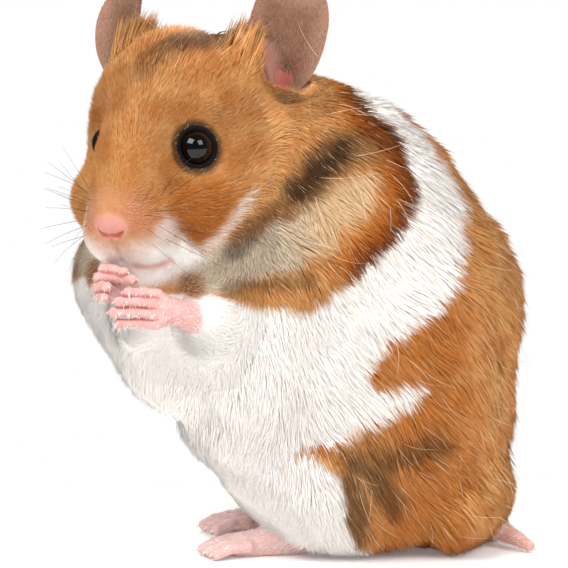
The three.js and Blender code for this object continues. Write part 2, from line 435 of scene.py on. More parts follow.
def ear_leaf(side):
    """The ear: a cupped leaf with a thin rolled rim, a fold and a hollow at its foot."""
    rows, around = 56, 72
    rise = (1 - np.cos(np.linspace(0, math.pi, rows)[1:-1])) / 2
    spin = np.arange(around) * 2 * math.pi / around
    across, face = np.cos(spin)[None], np.sin(spin)[None]
    u = rise[:, None]
    half = EAR_WIDTH / 2 * (0.93 + 0.32 * u - 0.27 * u * u) * (1 - np.abs(2 * u - 1) ** 2.5) ** 0.45
    a = half * across
    c = u * EAR_HEIGHT + 0 * a
    rim = np.abs(across) ** 5
    middle = -EAR_CUP * a * a - EAR_SWEEP * np.sin(math.pi * u) - 0.7 * rim * np.sin(math.pi * u) ** 0.5
    thick = EAR_THICK * (0.45 + 0.75 * (1 - u) ** 2)
    flat = np.stack([a, c], -1).reshape(-1, 2).astype(np.float32)
    ridge, hollow = (
        np.exp(-((from_line(flat, line) / 1.5) ** 2)).reshape(a.shape) for line in (EAR_RIDGE, EAR_HOLLOW)
    )
    front = (face < 0) * np.abs(face) ** 0.5
    b = middle + face * thick / 2 - 1.7 * ridge * front + 1.2 * hollow * np.abs(face) ** 0.5
    points = np.stack([a, b, c], -1).reshape(-1, 3)
    ends = np.array([(0, 0, 0), (0, 0, EAR_HEIGHT)])
    faces = ring_faces(len(rise), around)
    points = ear_place(side).outwards(np.concatenate([points, ends]))
    if side == RIGHT:
        faces = faces[:, ::-1]
    return HEAD.outwards(points), faces


def paw_form(pose):
    """A forepaw: the palm, and four fingers with their pads."""
    palm = [limb(pose["wrist"], pose["palm"], 2.5, 2.3)]
    fingers = []
    for knuckle, tip in pose["fingers"]:
        knuckle, tip = np.array(knuckle), np.array(tip)
        middle = mix(knuckle, tip, 0.5) + (0, 0, 0.2)
        palm.append(limb(pose["palm"], knuckle, 1.9, 1.0))
        pad = ellipsoid(tip, (0.95, 0.95, 0.9))
        fingers.append(blend(0.4, limb(knuckle, middle, 1.0, 0.82), limb(middle, tip, 0.82, 0.72), pad))
    return near_only(pose["palm"], 16, blend(0.25, blend(0.8, *palm), *fingers))


def foot_form(side):
    """A hind foot: its sole and instep, and five toes with their pads."""
    s, front = SIDES[side], TOES_AT[side]
    x = s * HIP_HALF
    forms = [
        limb((x, front + 8, 1.8), (x, front + FOOT_LENGTH - 3.5, 2.4), 2.4, 2.6),
        limb((x, front + 10, 2.2), (x + s, front + 21, 5.0), 2.0, 3.8),
    ]
    for knuckle, tip in toes(side):
        knuckle, tip = np.array(knuckle), np.array(tip)
        middle = mix(knuckle, tip, 0.5) + (0, 0, 0.45)
        forms += [
            limb((x, front + 9.5, 2.0), knuckle, 1.7, 1.1),
            limb(knuckle, middle, 1.1, 0.95),
            limb(middle, tip, 0.95, 1.05),
        ]
    return near_only((x, front + 10, 2), 18, blend(0.6, *forms))


def tail_form():
    """The short tail."""
    return limb(*TAIL, 2.6, 0.9)


HEAD_MIDDLE = (0, 4, -4)
HEAD_REACH = 26  # the half width of a cube that holds all of the face
SOLE_HEIGHT = 0.05  # the skin's least height over the floor


def skin_field():
    """The whole skin."""
    furred, face = furred_form(), face_skin()
    ears = [ear_place(s) for s in SIDES.values()]
    foot, notch = ear_foot(), ear_notch()
    paws = [paw_form(ARMS[side]) for side in SIDES]
    feet = [foot_form(side) for side in SIDES]
    tail = tail_form()

    def field(p):
        q = HEAD.inwards(p)
        near_head = np.abs(q - HEAD_MIDDLE).max(1) < HEAD_REACH
        total = furred(p) + coat_depth(p)
        if near_head.any():
            total[near_head] = face(total[near_head], left_half(q[near_head]))
        for place in ears:
            ear = place.inwards(q)
            total = soft_min(total, foot(ear), 2.5)
            total = carved(total, notch(ear), 1.5)
        for form in paws + feet:
            total = soft_min(total, form(p), 1.2)
        total = soft_min(total, tail(p), 2.0)
        return np.maximum(total, SOLE_HEIGHT - p[:, 2])

    return field


def grid_steps(*stops):
    """Places along an axis: each stop is (where, step from there on), and the last is (where, None)."""
    places = []
    for (start, step), (end, _) in zip(stops, stops[1:]):
        places.append(np.arange(start, end, step))
    return np.concatenate(places).astype(np.float32)


SLAB_POINTS = 300_000


def sampled(field, axes):
    """The field's value at every place of a grid, worked out a slab at a time."""
    plane = np.stack(np.meshgrid(axes[1], axes[2], indexing="ij"), -1).reshape(-1, 2)
    value = np.empty([len(a) for a in axes], np.float32)
    slab = max(1, SLAB_POINTS // len(plane))
    for i in range(0, len(axes[0]), slab):
        xs = axes[0][i : i + slab]
        p = np.empty((len(xs), len(plane), 3), np.float32)
        p[..., 0], p[..., 1:] = xs[:, None], plane
        value[i : i + slab] = field(p.reshape(-1, 3)).reshape(len(xs), *value.shape[1:])
    return value


def crossing_means(value, cells, axes):
    """For each cell, the mean of the places where its edges cross the surface."""
    total, hits = np.zeros((len(cells), 3), np.float32), np.zeros(len(cells), np.float32)
    for axis in range(3):
        for m, n in ((0, 0), (0, 1), (1, 0), (1, 1)):
            a = cells.copy()
            a[:, (axis + 1) % 3] += m
            a[:, (axis + 2) % 3] += n
            b = a.copy()
            b[:, axis] += 1
            va, vb = value[tuple(a.T)], value[tuple(b.T)]
            crosses = (va < 0) != (vb < 0)
            t = np.where(crosses, va / np.where(crosses, va - vb, 1), 0)
            pa, pb = (np.stack([axes[k][end[:, k]] for k in range(3)], -1) for end in (a, b))
            total += np.where(crosses[:, None], mix(pa, pb, t[:, None]), 0)
            hits += crosses
    return total / hits[:, None]


def quads_across(inside, number, axis):
    """A quad of the four cells round each grid edge along one axis that crosses the surface."""
    second, third = (axis + 1) % 3, (axis + 2) % 3
    start, end = [slice(None)] * 3, [slice(None)] * 3
    start[axis], end[axis] = slice(0, -1), slice(1, None)
    edges = np.argwhere(inside[tuple(start)] != inside[tuple(end)])
    for side in (second, third):
        edges = edges[(edges[:, side] > 0) & (edges[:, side] < inside.shape[side] - 1)]
    ring = []
    for m, n in ((1, 1), (0, 1), (0, 0), (1, 0)):
        cell = edges.copy()
        cell[:, second] -= m
        cell[:, third] -= n
        ring.append(number[tuple(cell.T)])
    quad = np.stack(ring, -1)
    leaves = inside[tuple(edges.T)]
    return np.where(leaves[:, None], quad, quad[:, ::-1])


def surface_net(field, axes):
    """A quad mesh of the field's zero level: one vertex for each grid cell that the surface crosses."""
    value = sampled(field, axes)
    inside = value < 0
    x, y, z = np.array(inside.shape) - 1
    corners = np.zeros((x, y, z), np.int8)
    for i, j, k in np.ndindex(2, 2, 2):
        corners += inside[i : x + i, j : y + j, k : z + k]
    cells = np.argwhere((corners > 0) & (corners < 8))
    number = np.full(corners.shape, -1, np.int32)
    number[tuple(cells.T)] = np.arange(len(cells))
    quads = [quads_across(inside, number, axis) for axis in range(3)]
    return crossing_means(value, cells, axes), np.concatenate(quads)


def split_quads(points, quads):
    """Each quad as two triangles, cut along its shorter diagonal."""
    a, b, c, d = points[quads].transpose(1, 0, 2)
    first = (np.linalg.norm(a - c, axis=1) <= np.linalg.norm(b - d, axis=1))[:, None]
    one = np.where(first, quads[:, [0, 1, 2]], quads[:, [0, 1, 3]])
    two = np.where(first, quads[:, [0, 2, 3]], quads[:, [1, 2, 3]])
    return np.concatenate([one, two])


def refine(points, triangles, chosen):
    """Halves the edges of the chosen triangles, and cuts their neighbours to match."""
    ends = np.sort(np.stack([triangles, np.roll(triangles, -1, axis=1)], 2), axis=2).astype(np.int64)
    keys = ends[..., 0] * len(points) + ends[..., 1]
    halved = np.unique(keys[chosen])
    middles = (points[halved // len(points)] + points[halved % len(points)]) / 2
    found = np.minimum(np.searchsorted(halved, keys), len(halved) - 1)
    cut = halved[found] == keys
    new = np.where(cut, found + len(points), -1)
    parts = [triangles[cut.sum(1) == 0]]
    for first in range(3):
        turned = [(first + k) % 3 for k in range(3)]
        (a, b, c), (ab, bc, ca) = triangles[:, turned].T, new[:, turned].T
        marks = cut[:, turned]
        one = marks[:, 0] & ~marks[:, 1] & ~marks[:, 2]
        two = ~marks[:, 0] & marks[:, 1] & marks[:, 2]
        shapes = [(one, ((a, ab, c), (ab, b, c))), (two, ((a, b, bc), (a, bc, ca), (ca, bc, c)))]
        if first == 0:
            whole = ((a, ab, ca), (ab, b, bc), (ca, bc, c), (ab, bc, ca))
            shapes.append((cut.all(1), whole))
        for rows, pieces in shapes:
            parts += [np.stack(piece, 1)[rows] for piece in pieces]
    return np.concatenate([points, middles]), np.concatenate(parts)


def gradient(field, p, step=0.08):
    """The field's slope at each point, which there is the surface's own outward normal."""
    slope = np.empty_like(p)
    for k in range(3):
        d = np.zeros(3, np.float32)
        d[k] = step
        slope[:, k] = (field(p + d) - field(p - d)) / (2 * step)
    return slope


def settle(field, p, rounds=2):
    """Moves points onto the field's zero level."""
    for _ in range(rounds):
        slope = gradient(field, p)
        away = field(p) / np.maximum((slope * slope).sum(1), 0.2)
        p = p - np.clip(away, -0.4, 0.4)[:, None] * slope
    return p


# ---- markings -----------------------------------------------------------------------------------------

SIDE_VIEW_TURN = 84  # the side chart looks at the animal's left from here, in degrees from its back
SIDE_VIEW_TILT = 9  # and from this much above
SIDE_VIEW_AWAY = 490  # from its middle, in mm
SIDE_VIEW_MIDDLE = np.array((0, 0, 48.1), np.float32)
SPINE = ((0, 46), (0, 30), (0.5, 15), (2, 0), (5, -13), (9, -23), (15, -29), (24, -35))


def side_axes():
    """The side chart's axes: to the tail, up, and towards the viewer."""
    turned, tilt = math.radians(SIDE_VIEW_TURN), math.radians(SIDE_VIEW_TILT)
    quarter = math.pi / 2
    axes = (towards(turned + quarter, 0), towards(turned, tilt + quarter), towards(turned, tilt))
    return np.array(axes, np.float32)


def onto_left(p):
    """Points of the right side, taken across the line of the spine to the left side."""
    best = np.full(len(p), np.inf, np.float32)
    out = p.copy()
    for start, end in zip(SPINE, SPINE[1:]):
        a, along = np.array(start, np.float32), np.subtract(end, start).astype(np.float32)
        t = np.clip((p[:, :2] - a) @ along / (along @ along), 0, 1)
        away = np.linalg.norm(p[:, :2] - a - t[:, None] * along, axis=1)
        left = unit((-along[1], along[0]))
        side = (p[:, :2] - a) @ left
        closer = away < best
        best = np.where(closer, away, best)
        moved = p[:, :2] - np.where(side < 0, 2 * side, 0)[:, None] * left
        out[:, :2] = np.where(closer[:, None], moved, out[:, :2])
    return out


def flat_view(p):
    """Where points show on the side chart, in mm to the rear and up from its middle."""
    rear, up, near = ((p - SIDE_VIEW_MIDDLE) @ side_axes().T).T
    grow = SIDE_VIEW_AWAY / (SIDE_VIEW_AWAY - near)
    return np.stack([rear * grow, up * grow], 1).astype(np.float32)


def side_chart(p):
    """Where points of the body show on the side chart, with the right side taken across to the left."""
    return flat_view(onto_left(p))


def smooth_line(points, closed=True, steps=5):
    """A Catmull-Rom curve through the points."""
    p = np.array(points, np.float32)
    if closed:
        p = np.concatenate([p[-1:], p, p[:2]])
    else:
        p = np.concatenate([2 * p[:1] - p[1:2], p, 2 * p[-1:] - p[-2:-1]])
    t = (np.arange(steps) / steps).astype(np.float32)[:, None, None]
    a, b, c, d = p[:-3], p[1:-2], p[2:-1], p[3:]
    curve = b + 0.5 * t * (c - a + t * (2 * a - 5 * b + 4 * c - d + t * (3 * (b - c) + d - a)))
    curve = curve.transpose(1, 0, 2).reshape(-1, p.shape[1])
    return curve if closed else np.concatenate([curve, p[-2:-1]])


def from_line(q, line):
    """The distance of each flat point from a line of points."""
    away = np.full(len(q), np.inf, np.float32)
    for a, b in zip(line, line[1:]):
        along = b - a
        t = np.clip((q - a) @ along / max(along @ along, 1e-9), 0, 1)
        away = np.minimum(away, np.linalg.norm(q - a - t[:, None] * along, axis=1))
    return away


def within_outline(q, outline):
    """The distance of each flat point from a smooth closed outline, positive inside."""
    line = smooth_line(outline)
    line = np.concatenate([line, line[:1]])
    inside = np.zeros(len(q), bool)
    for a, b in zip(line, line[1:]):
        crosses = (a[1] > q[:, 1]) != (b[1] > q[:, 1])
        rise = b[1] - a[1] if abs(b[1] - a[1]) > 1e-9 else 1e-9
        inside ^= crosses & (q[:, 0] < a[0] + (q[:, 1] - a[1]) / rise * (b[0] - a[0]))
    away = from_line(q, line)
    return np.where(inside, away, -away)


# Outlines and lines on the side chart, in mm to the rear and up from its middle.
WHITE_FRONT_EDGE = (
    (13.5, 35.5), (15.6, 32.7), (17.8, 30.5), (21.1, 27.5), (22.9, 23.1), (24.5, 17.3), (24.4, 12.9),
    (22.2, 9.3), (16.7, 3.3), (7.3, -4.2), (3.5, -5.8), (-7.3, -4.2), (-14.2, -2), (-22, -2),
)  # fmt: skip
WHITE_REAR_EDGE = (
    (13.5, -53), (13.1, -48.2), (12, -45.3), (11.3, -41.5), (10.7, -37.6), (8.9, -34.7), (5, -33),
    (2.2, -32.2), (5.5, -31), (9.8, -30.5), (15.1, -27.1), (19.8, -25.3), (24.2, -21.8), (26, -18.9),
    (18.4, -20.4), (16, -18), (16.9, -14.2), (20.4, -10.9), (26, -7.5), (31.3, -2), (32.9, 2.2),
    (33.1, 7.6), (33.6, 12.9), (31.3, 17.8), (28.5, 22), (25.8, 26.9), (21.6, 30.5), (18, 35),
)  # fmt: skip
WHITE_BELLY = ((-60, -2), (-75, -25), (-60, -60))
WHITE_MUZZLE = (
    (-30.2, 7.5), (-27.1, 8.2), (-25.1, 9.7), (-23.5, 11.8), (-21.5, 13.4), (-19.5, 12.6), (-17.8, 9.9),
    (-15.6, 7.2), (-13.1, 6.3), (-10.9, 7.2), (-10.8, 5.8), (-13.8, 2.9), (-17.1, 1.1), (-19.3, -1.5),
    (-29.8, -1.5), (-33.5, 2.5), (-34.2, 6.5),
)  # fmt: skip
CHEEK_STRIPE = ((-4.9, 16.7), (-6.9, 14), (-9.5, 10.4), (-11.6, 7.6), (-15.3, 6.2), (-18, 5.8))
PALE_PATCH = (
    (17.1, 19.6), (16.4, 14.4), (12, 9.5), (6.9, 5.1), (2.9, 2.5), (-2.5, 1.2), (-8, -0.4), (-13, -2),
    (-18.5, -1.5), (-17.5, 3.5), (-12.5, 5.6), (-8, 7.4), (-4.7, 8.7), (-1.5, 10.5), (2.9, 12.4),
    (6.2, 14.2), (8.4, 16.7), (12.4, 18.9),
)  # fmt: skip
DARK_FLASH = ((18, 25), (13.8, 24.7), (9.3, 22.9), (6.2, 19.8), (2.9, 16.2))
CHEEK_SHADOW = ((2.9, 16.2), (0, 13.1), (-4, 10.7), (-7.5, 7.5), (-9.5, 5.8))
BAND_SHADOW = ((-10, -1), (-4, -0.8), (0, -0.4), (5, 0.5))
HAUNCH_SHADOWS = (
    ((17.5, -33), (23, -32), (28.9, -30)),
    ((11.5, -36.5), (13, -40), (13.5, -46)),
    ((13, -33), (17, -36), (20, -41)),
)
CROWN_STREAK = ((6.8, 23), (6, 18), (4.5, 13), (2.5, 9), (-0.8, 3.6))  # in the head's frame, from above

# Ovals on the side chart, each as its middle and its radii.
MUZZLE_SHADOW = ((-28, 7), (5, 4))
CHEEK = ((-14, 13.5), (7, 6))
TEMPLE = ((-6.7, 30), (7, 7))
WHISKER_PAD = ((-25.8, 13.0), (4.2, 4.0))
# Painted shade in the hollow between the chin and the arm.
THROAT_SHADE = ((-17, -0.8), (2.6, 2.8))

# And in the head's frame.
WHOLE_HEAD = ((0, 4, -3), (19, 24, 18))
CHIN = ((0, -9, -18), (10.5, 8, 5))
NOSE = ((0, -15.6, -8.6), (3.4, 2.7, 2.7))
LIPS = ((2.6, -14.8, -16.6), (4.4, -14.0, -17.0), (7.2, -11.6, -17.2))
EAR_SHADOW_AT = (3.0, -2.0, -0.5)  # in the ear's frame


def head_chart(p):
    """Where points of the head show on the side chart, with the right half taken across to the left."""
    return flat_view(HEAD.outwards(left_half(HEAD.inwards(p))))


def on_head(p, inner=1.0, outer=1.2):
    """1 on the head, fading to 0 on the neck."""
    return in_oval(HEAD.inwards(p), WHOLE_HEAD, inner, outer)


def near_line(q, line, inner, outer):
    """1 within `inner` of a smooth line, fading to 0 at `outer`."""
    return 1 - ramp(from_line(q, smooth_line(line, closed=False)), inner, outer)


def in_oval(q, oval, inner, outer):
    """1 within an oval, fading to 0 around it. `inner` and `outer` are parts of the oval's radii."""
    middle, radii = oval
    return 1 - ramp(np.linalg.norm((q - middle) / radii, axis=1), inner, outer)


def white_hair(p, q, head, face):
    """The white of the band, the belly, the muzzle, the cheek's stripe and the chin."""
    body = within_outline(q, WHITE_FRONT_EDGE + WHITE_BELLY + WHITE_REAR_EDGE)
    muzzle = within_outline(q, WHITE_MUZZLE)
    muzzle = (0.6 + 0.4 * (1 - ramp(q[:, 1], 5, 9))) * ramp(muzzle, -1.0, 2.4) * on_head(p, 1.1, 1.4)
    white = np.maximum(ramp(body, -0.7, 0.7) * (1 - face), muzzle)
    white = white * (1 - 0.3 * in_oval(q, MUZZLE_SHADOW, 0.6, 1.4) * face)
    white = np.maximum(white, 0.52 * near_line(q, CHEEK_STRIPE, 0.1, 1.7))
    return np.maximum(white, in_oval(left_half(head), CHIN, 0.8, 1.2))


def dark_hair(p, q, head, face, edge, beside):
    """The flash, the crown's streak and the eyes' rings, and painted shadows on the cheek, beside the white,
    along the band, on the haunch and at the feet of the ears.
    """
    streak = near_line(head[:, :2], CROWN_STREAK, 0.8, 4.4)
    streak = streak * (0.45 + 0.55 * ramp(head[:, 1], 2, 11)) * ramp(head[:, 2], 5, 9)
    from_eye = np.linalg.norm(left_half(head) - np.array(EYE_AT), axis=1)
    marks = [
        0.95 * near_line(q, DARK_FLASH, 0.8, 5.4) * (1 - 0.5 * ramp(q[:, 0], 11, 16)),
        0.6 * near_line(q, CHEEK_SHADOW, 0.5, 3.6),
        0.75 * beside * (1 - ramp(edge, 0.3, 3.4)),
        0.5 * near_line(q, BAND_SHADOW, 0.3, 2.4),
        0.8 * streak * on_head(p, 1.2, 1.5),
        0.85 * (1 - ramp(from_eye, EYE_RADIUS + 1.1, EYE_RADIUS + 2.6)),
        (0.07 + 0.13 * in_oval(q, TEMPLE, 0.5, 1.5)) * face,
    ]
    marks += [0.68 * near_line(q, line, 0.5, 4) for line in HAUNCH_SHADOWS]
    for s in SIDES.values():
        from_ear = np.linalg.norm(ear_place(s).inwards(head) - EAR_SHADOW_AT, axis=1)
        marks.append(0.6 * (1 - ramp(from_ear, 1.5, 4.5)))
    return np.maximum.reduce(marks)


def rich_hair(q, head, face, edge, beside):
    """The deeper orange along the band, on the cheek and low on the rump."""
    rear, up = q.T
    along_band = (1 - ramp(edge, 2, 8)) * beside
    cheek = 0.55 * in_oval(q, CHEEK, 0.6, 1.6) * face * ramp(head[:, 0], -8, 0)
    rump = 0.4 * ramp(rear, 14, 22) * (1 - ramp(rear, 30, 38)) * (1 - ramp(up, 2, 14))
    return np.maximum.reduce([along_band, cheek, rump, 0.12 * face])


def fur_marks(p):
    """The coat's colours at each point, each from 0 to 1, painted shadows included."""
    head, face = HEAD.inwards(p), on_head(p)
    q = mix(side_chart(p), head_chart(p), face[:, None])
    q = q + 0.35 * np.stack([ripple(p, 4, 11), ripple(p, 4, 12)], 1)
    rear, up = q.T
    white = white_hair(p, q, head, face)
    edge = from_line(q, smooth_line(WHITE_FRONT_EDGE, closed=False))
    beside = (1 - white) * ramp(up, -4, 4) * ramp(rear, 6, 14)
    pad = in_oval(q, WHISKER_PAD, 0.5, 1.4) * (1 - ramp(up, 18, 24)) * face
    # Painted shade in the hollow between the chin and the arm: no white there, but dusk and the pad's reddish
    # colour.
    throat_shade = in_oval(q, THROAT_SHADE, 0.4, 1.3)
    return dict(
        white=white * (1 - throat_shade) * (1 - 0.7 * pad),
        cream=ramp(within_outline(q, PALE_PATCH), -1.6, 1.6),
        grey=1 - ramp(rear, -1, 10),
        dusk=np.maximum(dark_hair(p, q, head, face, edge, beside), 0.55 * throat_shade),
        rich=rich_hair(q, head, face, edge, beside),
        pad=np.maximum(pad, throat_shade),
    )


def feet_marks(p):
    """Where the paws, feet and tail are bare, and the painted shade in the gaps between the fingers."""
    bare, gaps = [0.8 * ramp(-limb(*TAIL, 2.8, 1.2)(p), -0.5, 0.3)], []
    for side in SIDES:
        bare.append(1 - ramp(paw_form(ARMS[side])(p), 0.3, 1.2))
        bare.append(0.85 * (1 - ramp(foot_form(side)(p), 0.3, 1.0)))
        # The gaps between the fingers get painted shade, a dark red.
        digits = [limb(*digit, 0.9, 0.8)(p) for digit in ARMS[side]["fingers"]]
        second = np.sort(np.stack(digits), axis=0)[1]
        gaps.append(0.7 * (1 - ramp(second, 0.15, 0.75)))
    return np.maximum.reduce(bare), np.maximum.reduce(gaps)


def face_marks(half):
    """The nose, the lips, the blush round the nose, the nostrils' painted shade and the eye's rim, on the
    left half.
    """
    nose = in_oval(half, NOSE, 0.8, 1.2)
    line = np.minimum(*(limb(start, end, 0, 0)(half) for start, end in zip(LIPS, LIPS[1:])))
    lips = 0.8 * (1 - ramp(line, 0.3, 1.4))
    blush = 1 - ramp(np.linalg.norm(half - NOSE[0], axis=1), 3, 8)
    # Painted shade in the nostrils: a dark red in the openings.
    nostrils = 0.65 * (1 - ramp(NOSTRIL(half), 0.1, 0.6))
    from_lid = np.linalg.norm(half - np.array(EYE_AT), axis=1) - EYE_RADIUS - LID_DEPTH
    return nose, lips, blush, nostrils, 1 - ramp(from_lid, 0.1, 1.1)


def ear_marks(head):
    """The ears' leaves and inner faces, with the folds' flush, the hollows' red, which is painted shade, and
    the pale edges.
    """
    leaves, cup, folds, hollows, pale = np.zeros((5, len(head)), np.float32)
    for s in SIDES.values():
        ear = ear_place(s).inwards(head)
        flat = ear[:, [0, 2]]
        leaf = near_ear(ear)
        inner = leaf * (ear[:, 1] < leaf_middle(ear) + 0.2) * ramp(ear[:, 2], 1.2, 2.4)
        fold = 1 - ramp(from_line(flat, EAR_RIDGE), 0.8, 3.6)
        # The hollow at the ear's foot gets painted shade, a dark red.
        hollow = 1 - ramp(from_line(flat, EAR_HOLLOW), 0.3, 2.2)
        edge = np.maximum(ramp(np.abs(ear[:, 0]), 3, 6.5), ramp(ear[:, 2], 15, 21))
        leaves = np.maximum(leaves, leaf * ramp(ear[:, 2], 1.8, 3.0))
        cup = np.maximum(cup, inner)
        folds = np.maximum(folds, inner * fold)
        hollows = np.maximum(hollows, 0.6 * inner * hollow)
        pale = np.maximum(pale, leaf * edge * inner)
    return leaves, cup, folds, hollows, pale


def skin_marks(p):
    """The skin's colours at each point, each from 0 to 1."""
    head = HEAD.inwards(p)
    half = left_half(head.astype(float))
    feet, gaps = feet_marks(p)
    nose, lips, blush, nostrils, rim = face_marks(half)
    leaves, cup, folds, hollows, pale = ear_marks(head)
    # The nose is pink, with a painted highlight that makes it paler towards its top.
    nose_pink_with_painted_highlight = 0.75 * nose * (1 - 0.2 * ramp(half[:, 2], -9.6, -7.4))
    return dict(
        bare=np.maximum.reduce([feet, nose, lips, 0.5 * folds]),
        flush=np.maximum.reduce([nose_pink_with_painted_highlight, 0.55 * lips, 0.6 * folds, 0.35 * blush]),
        # Deep is painted shade: a dark red in the gaps between the fingers, the ears' hollows and the
        # nostrils.
        deep=np.maximum.reduce([gaps, hollows, nostrils]),
        rim=rim,
        ear=leaves,
        pale=pale,
        cup=cup,
    )


# ---- pieces -------------------------------------------------------------------------------------------


def row_shift():
    """How far the shared frame's origin lies from the maker's, in mm."""
    low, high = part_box("left_eye")
    middle = (np.array(low) + np.array(high)) / 2 / MM
    return (middle - HEAD.outwards(EYE_AT)).astype(np.float32)


SHIFT = row_shift()


def mesh_piece(name, points, faces, finish, nodes=()):
    """An object from points in mm and faces that all have as many corners."""
    mesh = bpy.data.meshes.new(name)
    mesh.vertices.add(len(points))
    mesh.vertices.foreach_set("co", ((points + SHIFT) * MM).astype(np.float32).ravel())
    corners = faces.shape[1]
    mesh.loops.add(faces.size)
    mesh.loops.foreach_set("vertex_index", faces.astype(np.int32).ravel())
    mesh.polygons.add(len(faces))
    mesh.polygons.foreach_set("loop_start", np.arange(0, faces.size, corners, dtype=np.int32))
    mesh.update(calc_edges=True)
    mesh.shade_smooth()
    piece = bpy.data.objects.new(name, mesh)
    bpy.context.scene.collection.objects.link(piece)
    mesh.materials.append(finish)
    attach(piece, "root")
    if nodes:
        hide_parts(*nodes)
    return piece


def paint(mesh, name, values):
    """Stores four numbers for each vertex under a name that the finishes read."""
    layer = mesh.attributes.new(name, "FLOAT_COLOR", "POINT")
    layer.data.foreach_set("color", values.astype(np.float32).ravel())


def paint_marks(mesh, fur, skin, repeat=1):
    """Stores the markings at each vertex: `repeat` vertices in a row share one mark."""
    table = {
        "markings": (fur["white"], fur["cream"], fur["dusk"], skin["bare"]),
        "tones": (fur["rich"], fur["grey"], fur["pad"], skin["pale"]),
        "flesh": (skin["flush"], skin["rim"], skin["ear"], skin["deep"]),
    }
    for name, values in table.items():
        paint(mesh, name, np.repeat(np.stack(values, 1), repeat, axis=0))


class Finish:
    """A material of nodes round one Principled shader."""

    def __init__(self, name):
        self.material = bpy.data.materials.new(name)
        self.material.use_nodes = True
        self.tree = self.material.node_tree
        self.shader = self.tree.nodes["Principled BSDF"]

    def node(self, kind, settings=None, **inputs):
        """Adds a node. Inputs are named in small letters with _ for a space, or i0, i1 by number."""
        node = self.tree.nodes.new("ShaderNode" + kind)
        for key, value in (settings or {}).items():
            setattr(node, key, value)
        for key, value in inputs.items():
            self.plug(self.socket(node, key), value)
        return node

    def socket(self, node, key):
        """An input of a node, by its name or number."""
        if key[0] == "i" and key[1:].isdigit():
            return node.inputs[int(key[1:])]
        return next(s for s in node.inputs if s.name.lower().replace(" ", "_") == key)

    def plug(self, socket, value):
        """Links an output into a socket, or sets the socket's own value."""
        if isinstance(value, bpy.types.NodeSocket):
            self.tree.links.new(value, socket)
        elif socket.type == "RGBA" and len(value) == 3:
            socket.default_value = (*value, 1)
        else:
            socket.default_value = value

    def shade(self, **inputs):
        """Sets the shader's inputs."""
        for key, value in inputs.items():
            self.plug(self.socket(self.shader, key), value)

    def attribute(self, name):
        """The four numbers stored under a name, as outputs."""
        source = self.node("Attribute", dict(attribute_name=name))
        parts = self.node("SeparateColor", color=source.outputs["Color"])
        return [*parts.outputs, source.outputs["Alpha"]]

    def mix(self, amount, a, b, how="MIX"):
        """One colour turned into another."""
        node = self.node("Mix", dict(data_type="RGBA", blend_type=how), i0=amount, i6=a, i7=b)
        return node.outputs[2]

    def math(self, operation, a, b=0.0, c=0.0, clamp=False):
        """A sum on numbers."""
        return self.node("Math", dict(operation=operation, use_clamp=clamp), i0=a, i1=b, i2=c).outputs[0]

    def noise(self, size, detail):
        """Noise of about `size` mm, from 0 to 1."""
        place = self.node("TexCoord").outputs["Object"]
        return self.node("TexNoise", vector=place, scale=1 / (size * MM), detail=detail).outputs["Fac"]


def colour(text):
    """A colour from six hex digits, as the light that it sends back."""
    parts = [int(text[i : i + 2], 16) / 255 for i in (0, 2, 4)]
    return tuple(c / 12.92 if c <= 0.04045 else ((c + 0.055) / 1.055) ** 2.4 for c in parts)


def colours(group):
    """The colours in one of the scene's groups of settings, by name."""
    return {name: tuple(getattr(settings(group), name)) for name in GROUPS[group].__annotations__}


def coat_colour(finish):
    """The coat's colour from its markings, with its painted shadows."""
    c = colours("hamster_hair")
    white, cream, dusk, _ = finish.attribute("markings")
    rich, grey, pad, _ = finish.attribute("tones")
    patchy = finish.noise(4.5, 3)
    fine = finish.noise(0.9, 2)
    warm = finish.mix(finish.math("MULTIPLY_ADD", patchy, 1.3, -0.2, True), c["tan"], c["orange"])
    mottle = finish.math("MULTIPLY_ADD", finish.noise(9, 3), 1.8, -0.85, True)
    warm = finish.mix(mottle, warm, c["rust"])
    warm = finish.mix(finish.math("MULTIPLY", rich, 1.5, clamp=True), warm, c["deep"])
    warm = finish.mix(finish.math("MULTIPLY_ADD", fine, 0.7, -0.25, True), warm, c["rust"])
    warm = finish.mix(finish.math("MULTIPLY_ADD", rich, 1.6, -0.8, True), warm, c["rust"])
    total = finish.mix(cream, warm, finish.mix(grey, c["cream"], c["grey"]))
    # The pad's colour also paints the shade under the chin, and dusk also paints the shadows that dark_hair
    # lists.
    total = finish.mix(finish.math("MULTIPLY", pad, 0.85), total, c["pad"])
    total = finish.mix(dusk, total, c["dusk"])
    return finish.mix(white, total, c["white"])


def skin_finish():
    """Bare pink skin with fine creases, and the coat's colours, painted shadows included, where the coat
    covers it.
    """
    finish = Finish("skin_under_coat")
    c = colours("hamster_skin")
    bare = finish.attribute("markings")[3]
    flush, rim, ear, deep = finish.attribute("flesh")
    mottled = finish.noise(1.6, 3)
    pink = finish.mix(finish.math("MULTIPLY_ADD", mottled, 0.9, -0.3, True), c["bare"], c["flush"])
    pink = finish.mix(flush, pink, c["flush"])
    leaf = finish.mix(mottled, c["ear"], c["ear_deep"])
    leaf = finish.mix(finish.math("MULTIPLY", finish.attribute("tones")[3], 0.8), leaf, c["ear_rim"])
    total = finish.mix(ear, coat_colour(finish), leaf)
    total = finish.mix(bare, total, pink)
    # Painted shade in the gaps between the fingers, the ears' hollows and the nostrils.
    total = finish.mix(deep, total, c["deep"])
    total = finish.mix(rim, total, c["rim"])
    creases = finish.math("ADD", finish.noise(0.35, 4), finish.noise(1.1, 2))
    bump = finish.node("Bump", strength=0.35, distance=0.15 * MM, height=creases)
    finish.shade(base_color=total, roughness=0.55, normal=bump.outputs[0])
    finish.shade(subsurface_weight=0.2, subsurface_scale=0.8 * MM, specular_ior_level=0.15)
    return finish.material


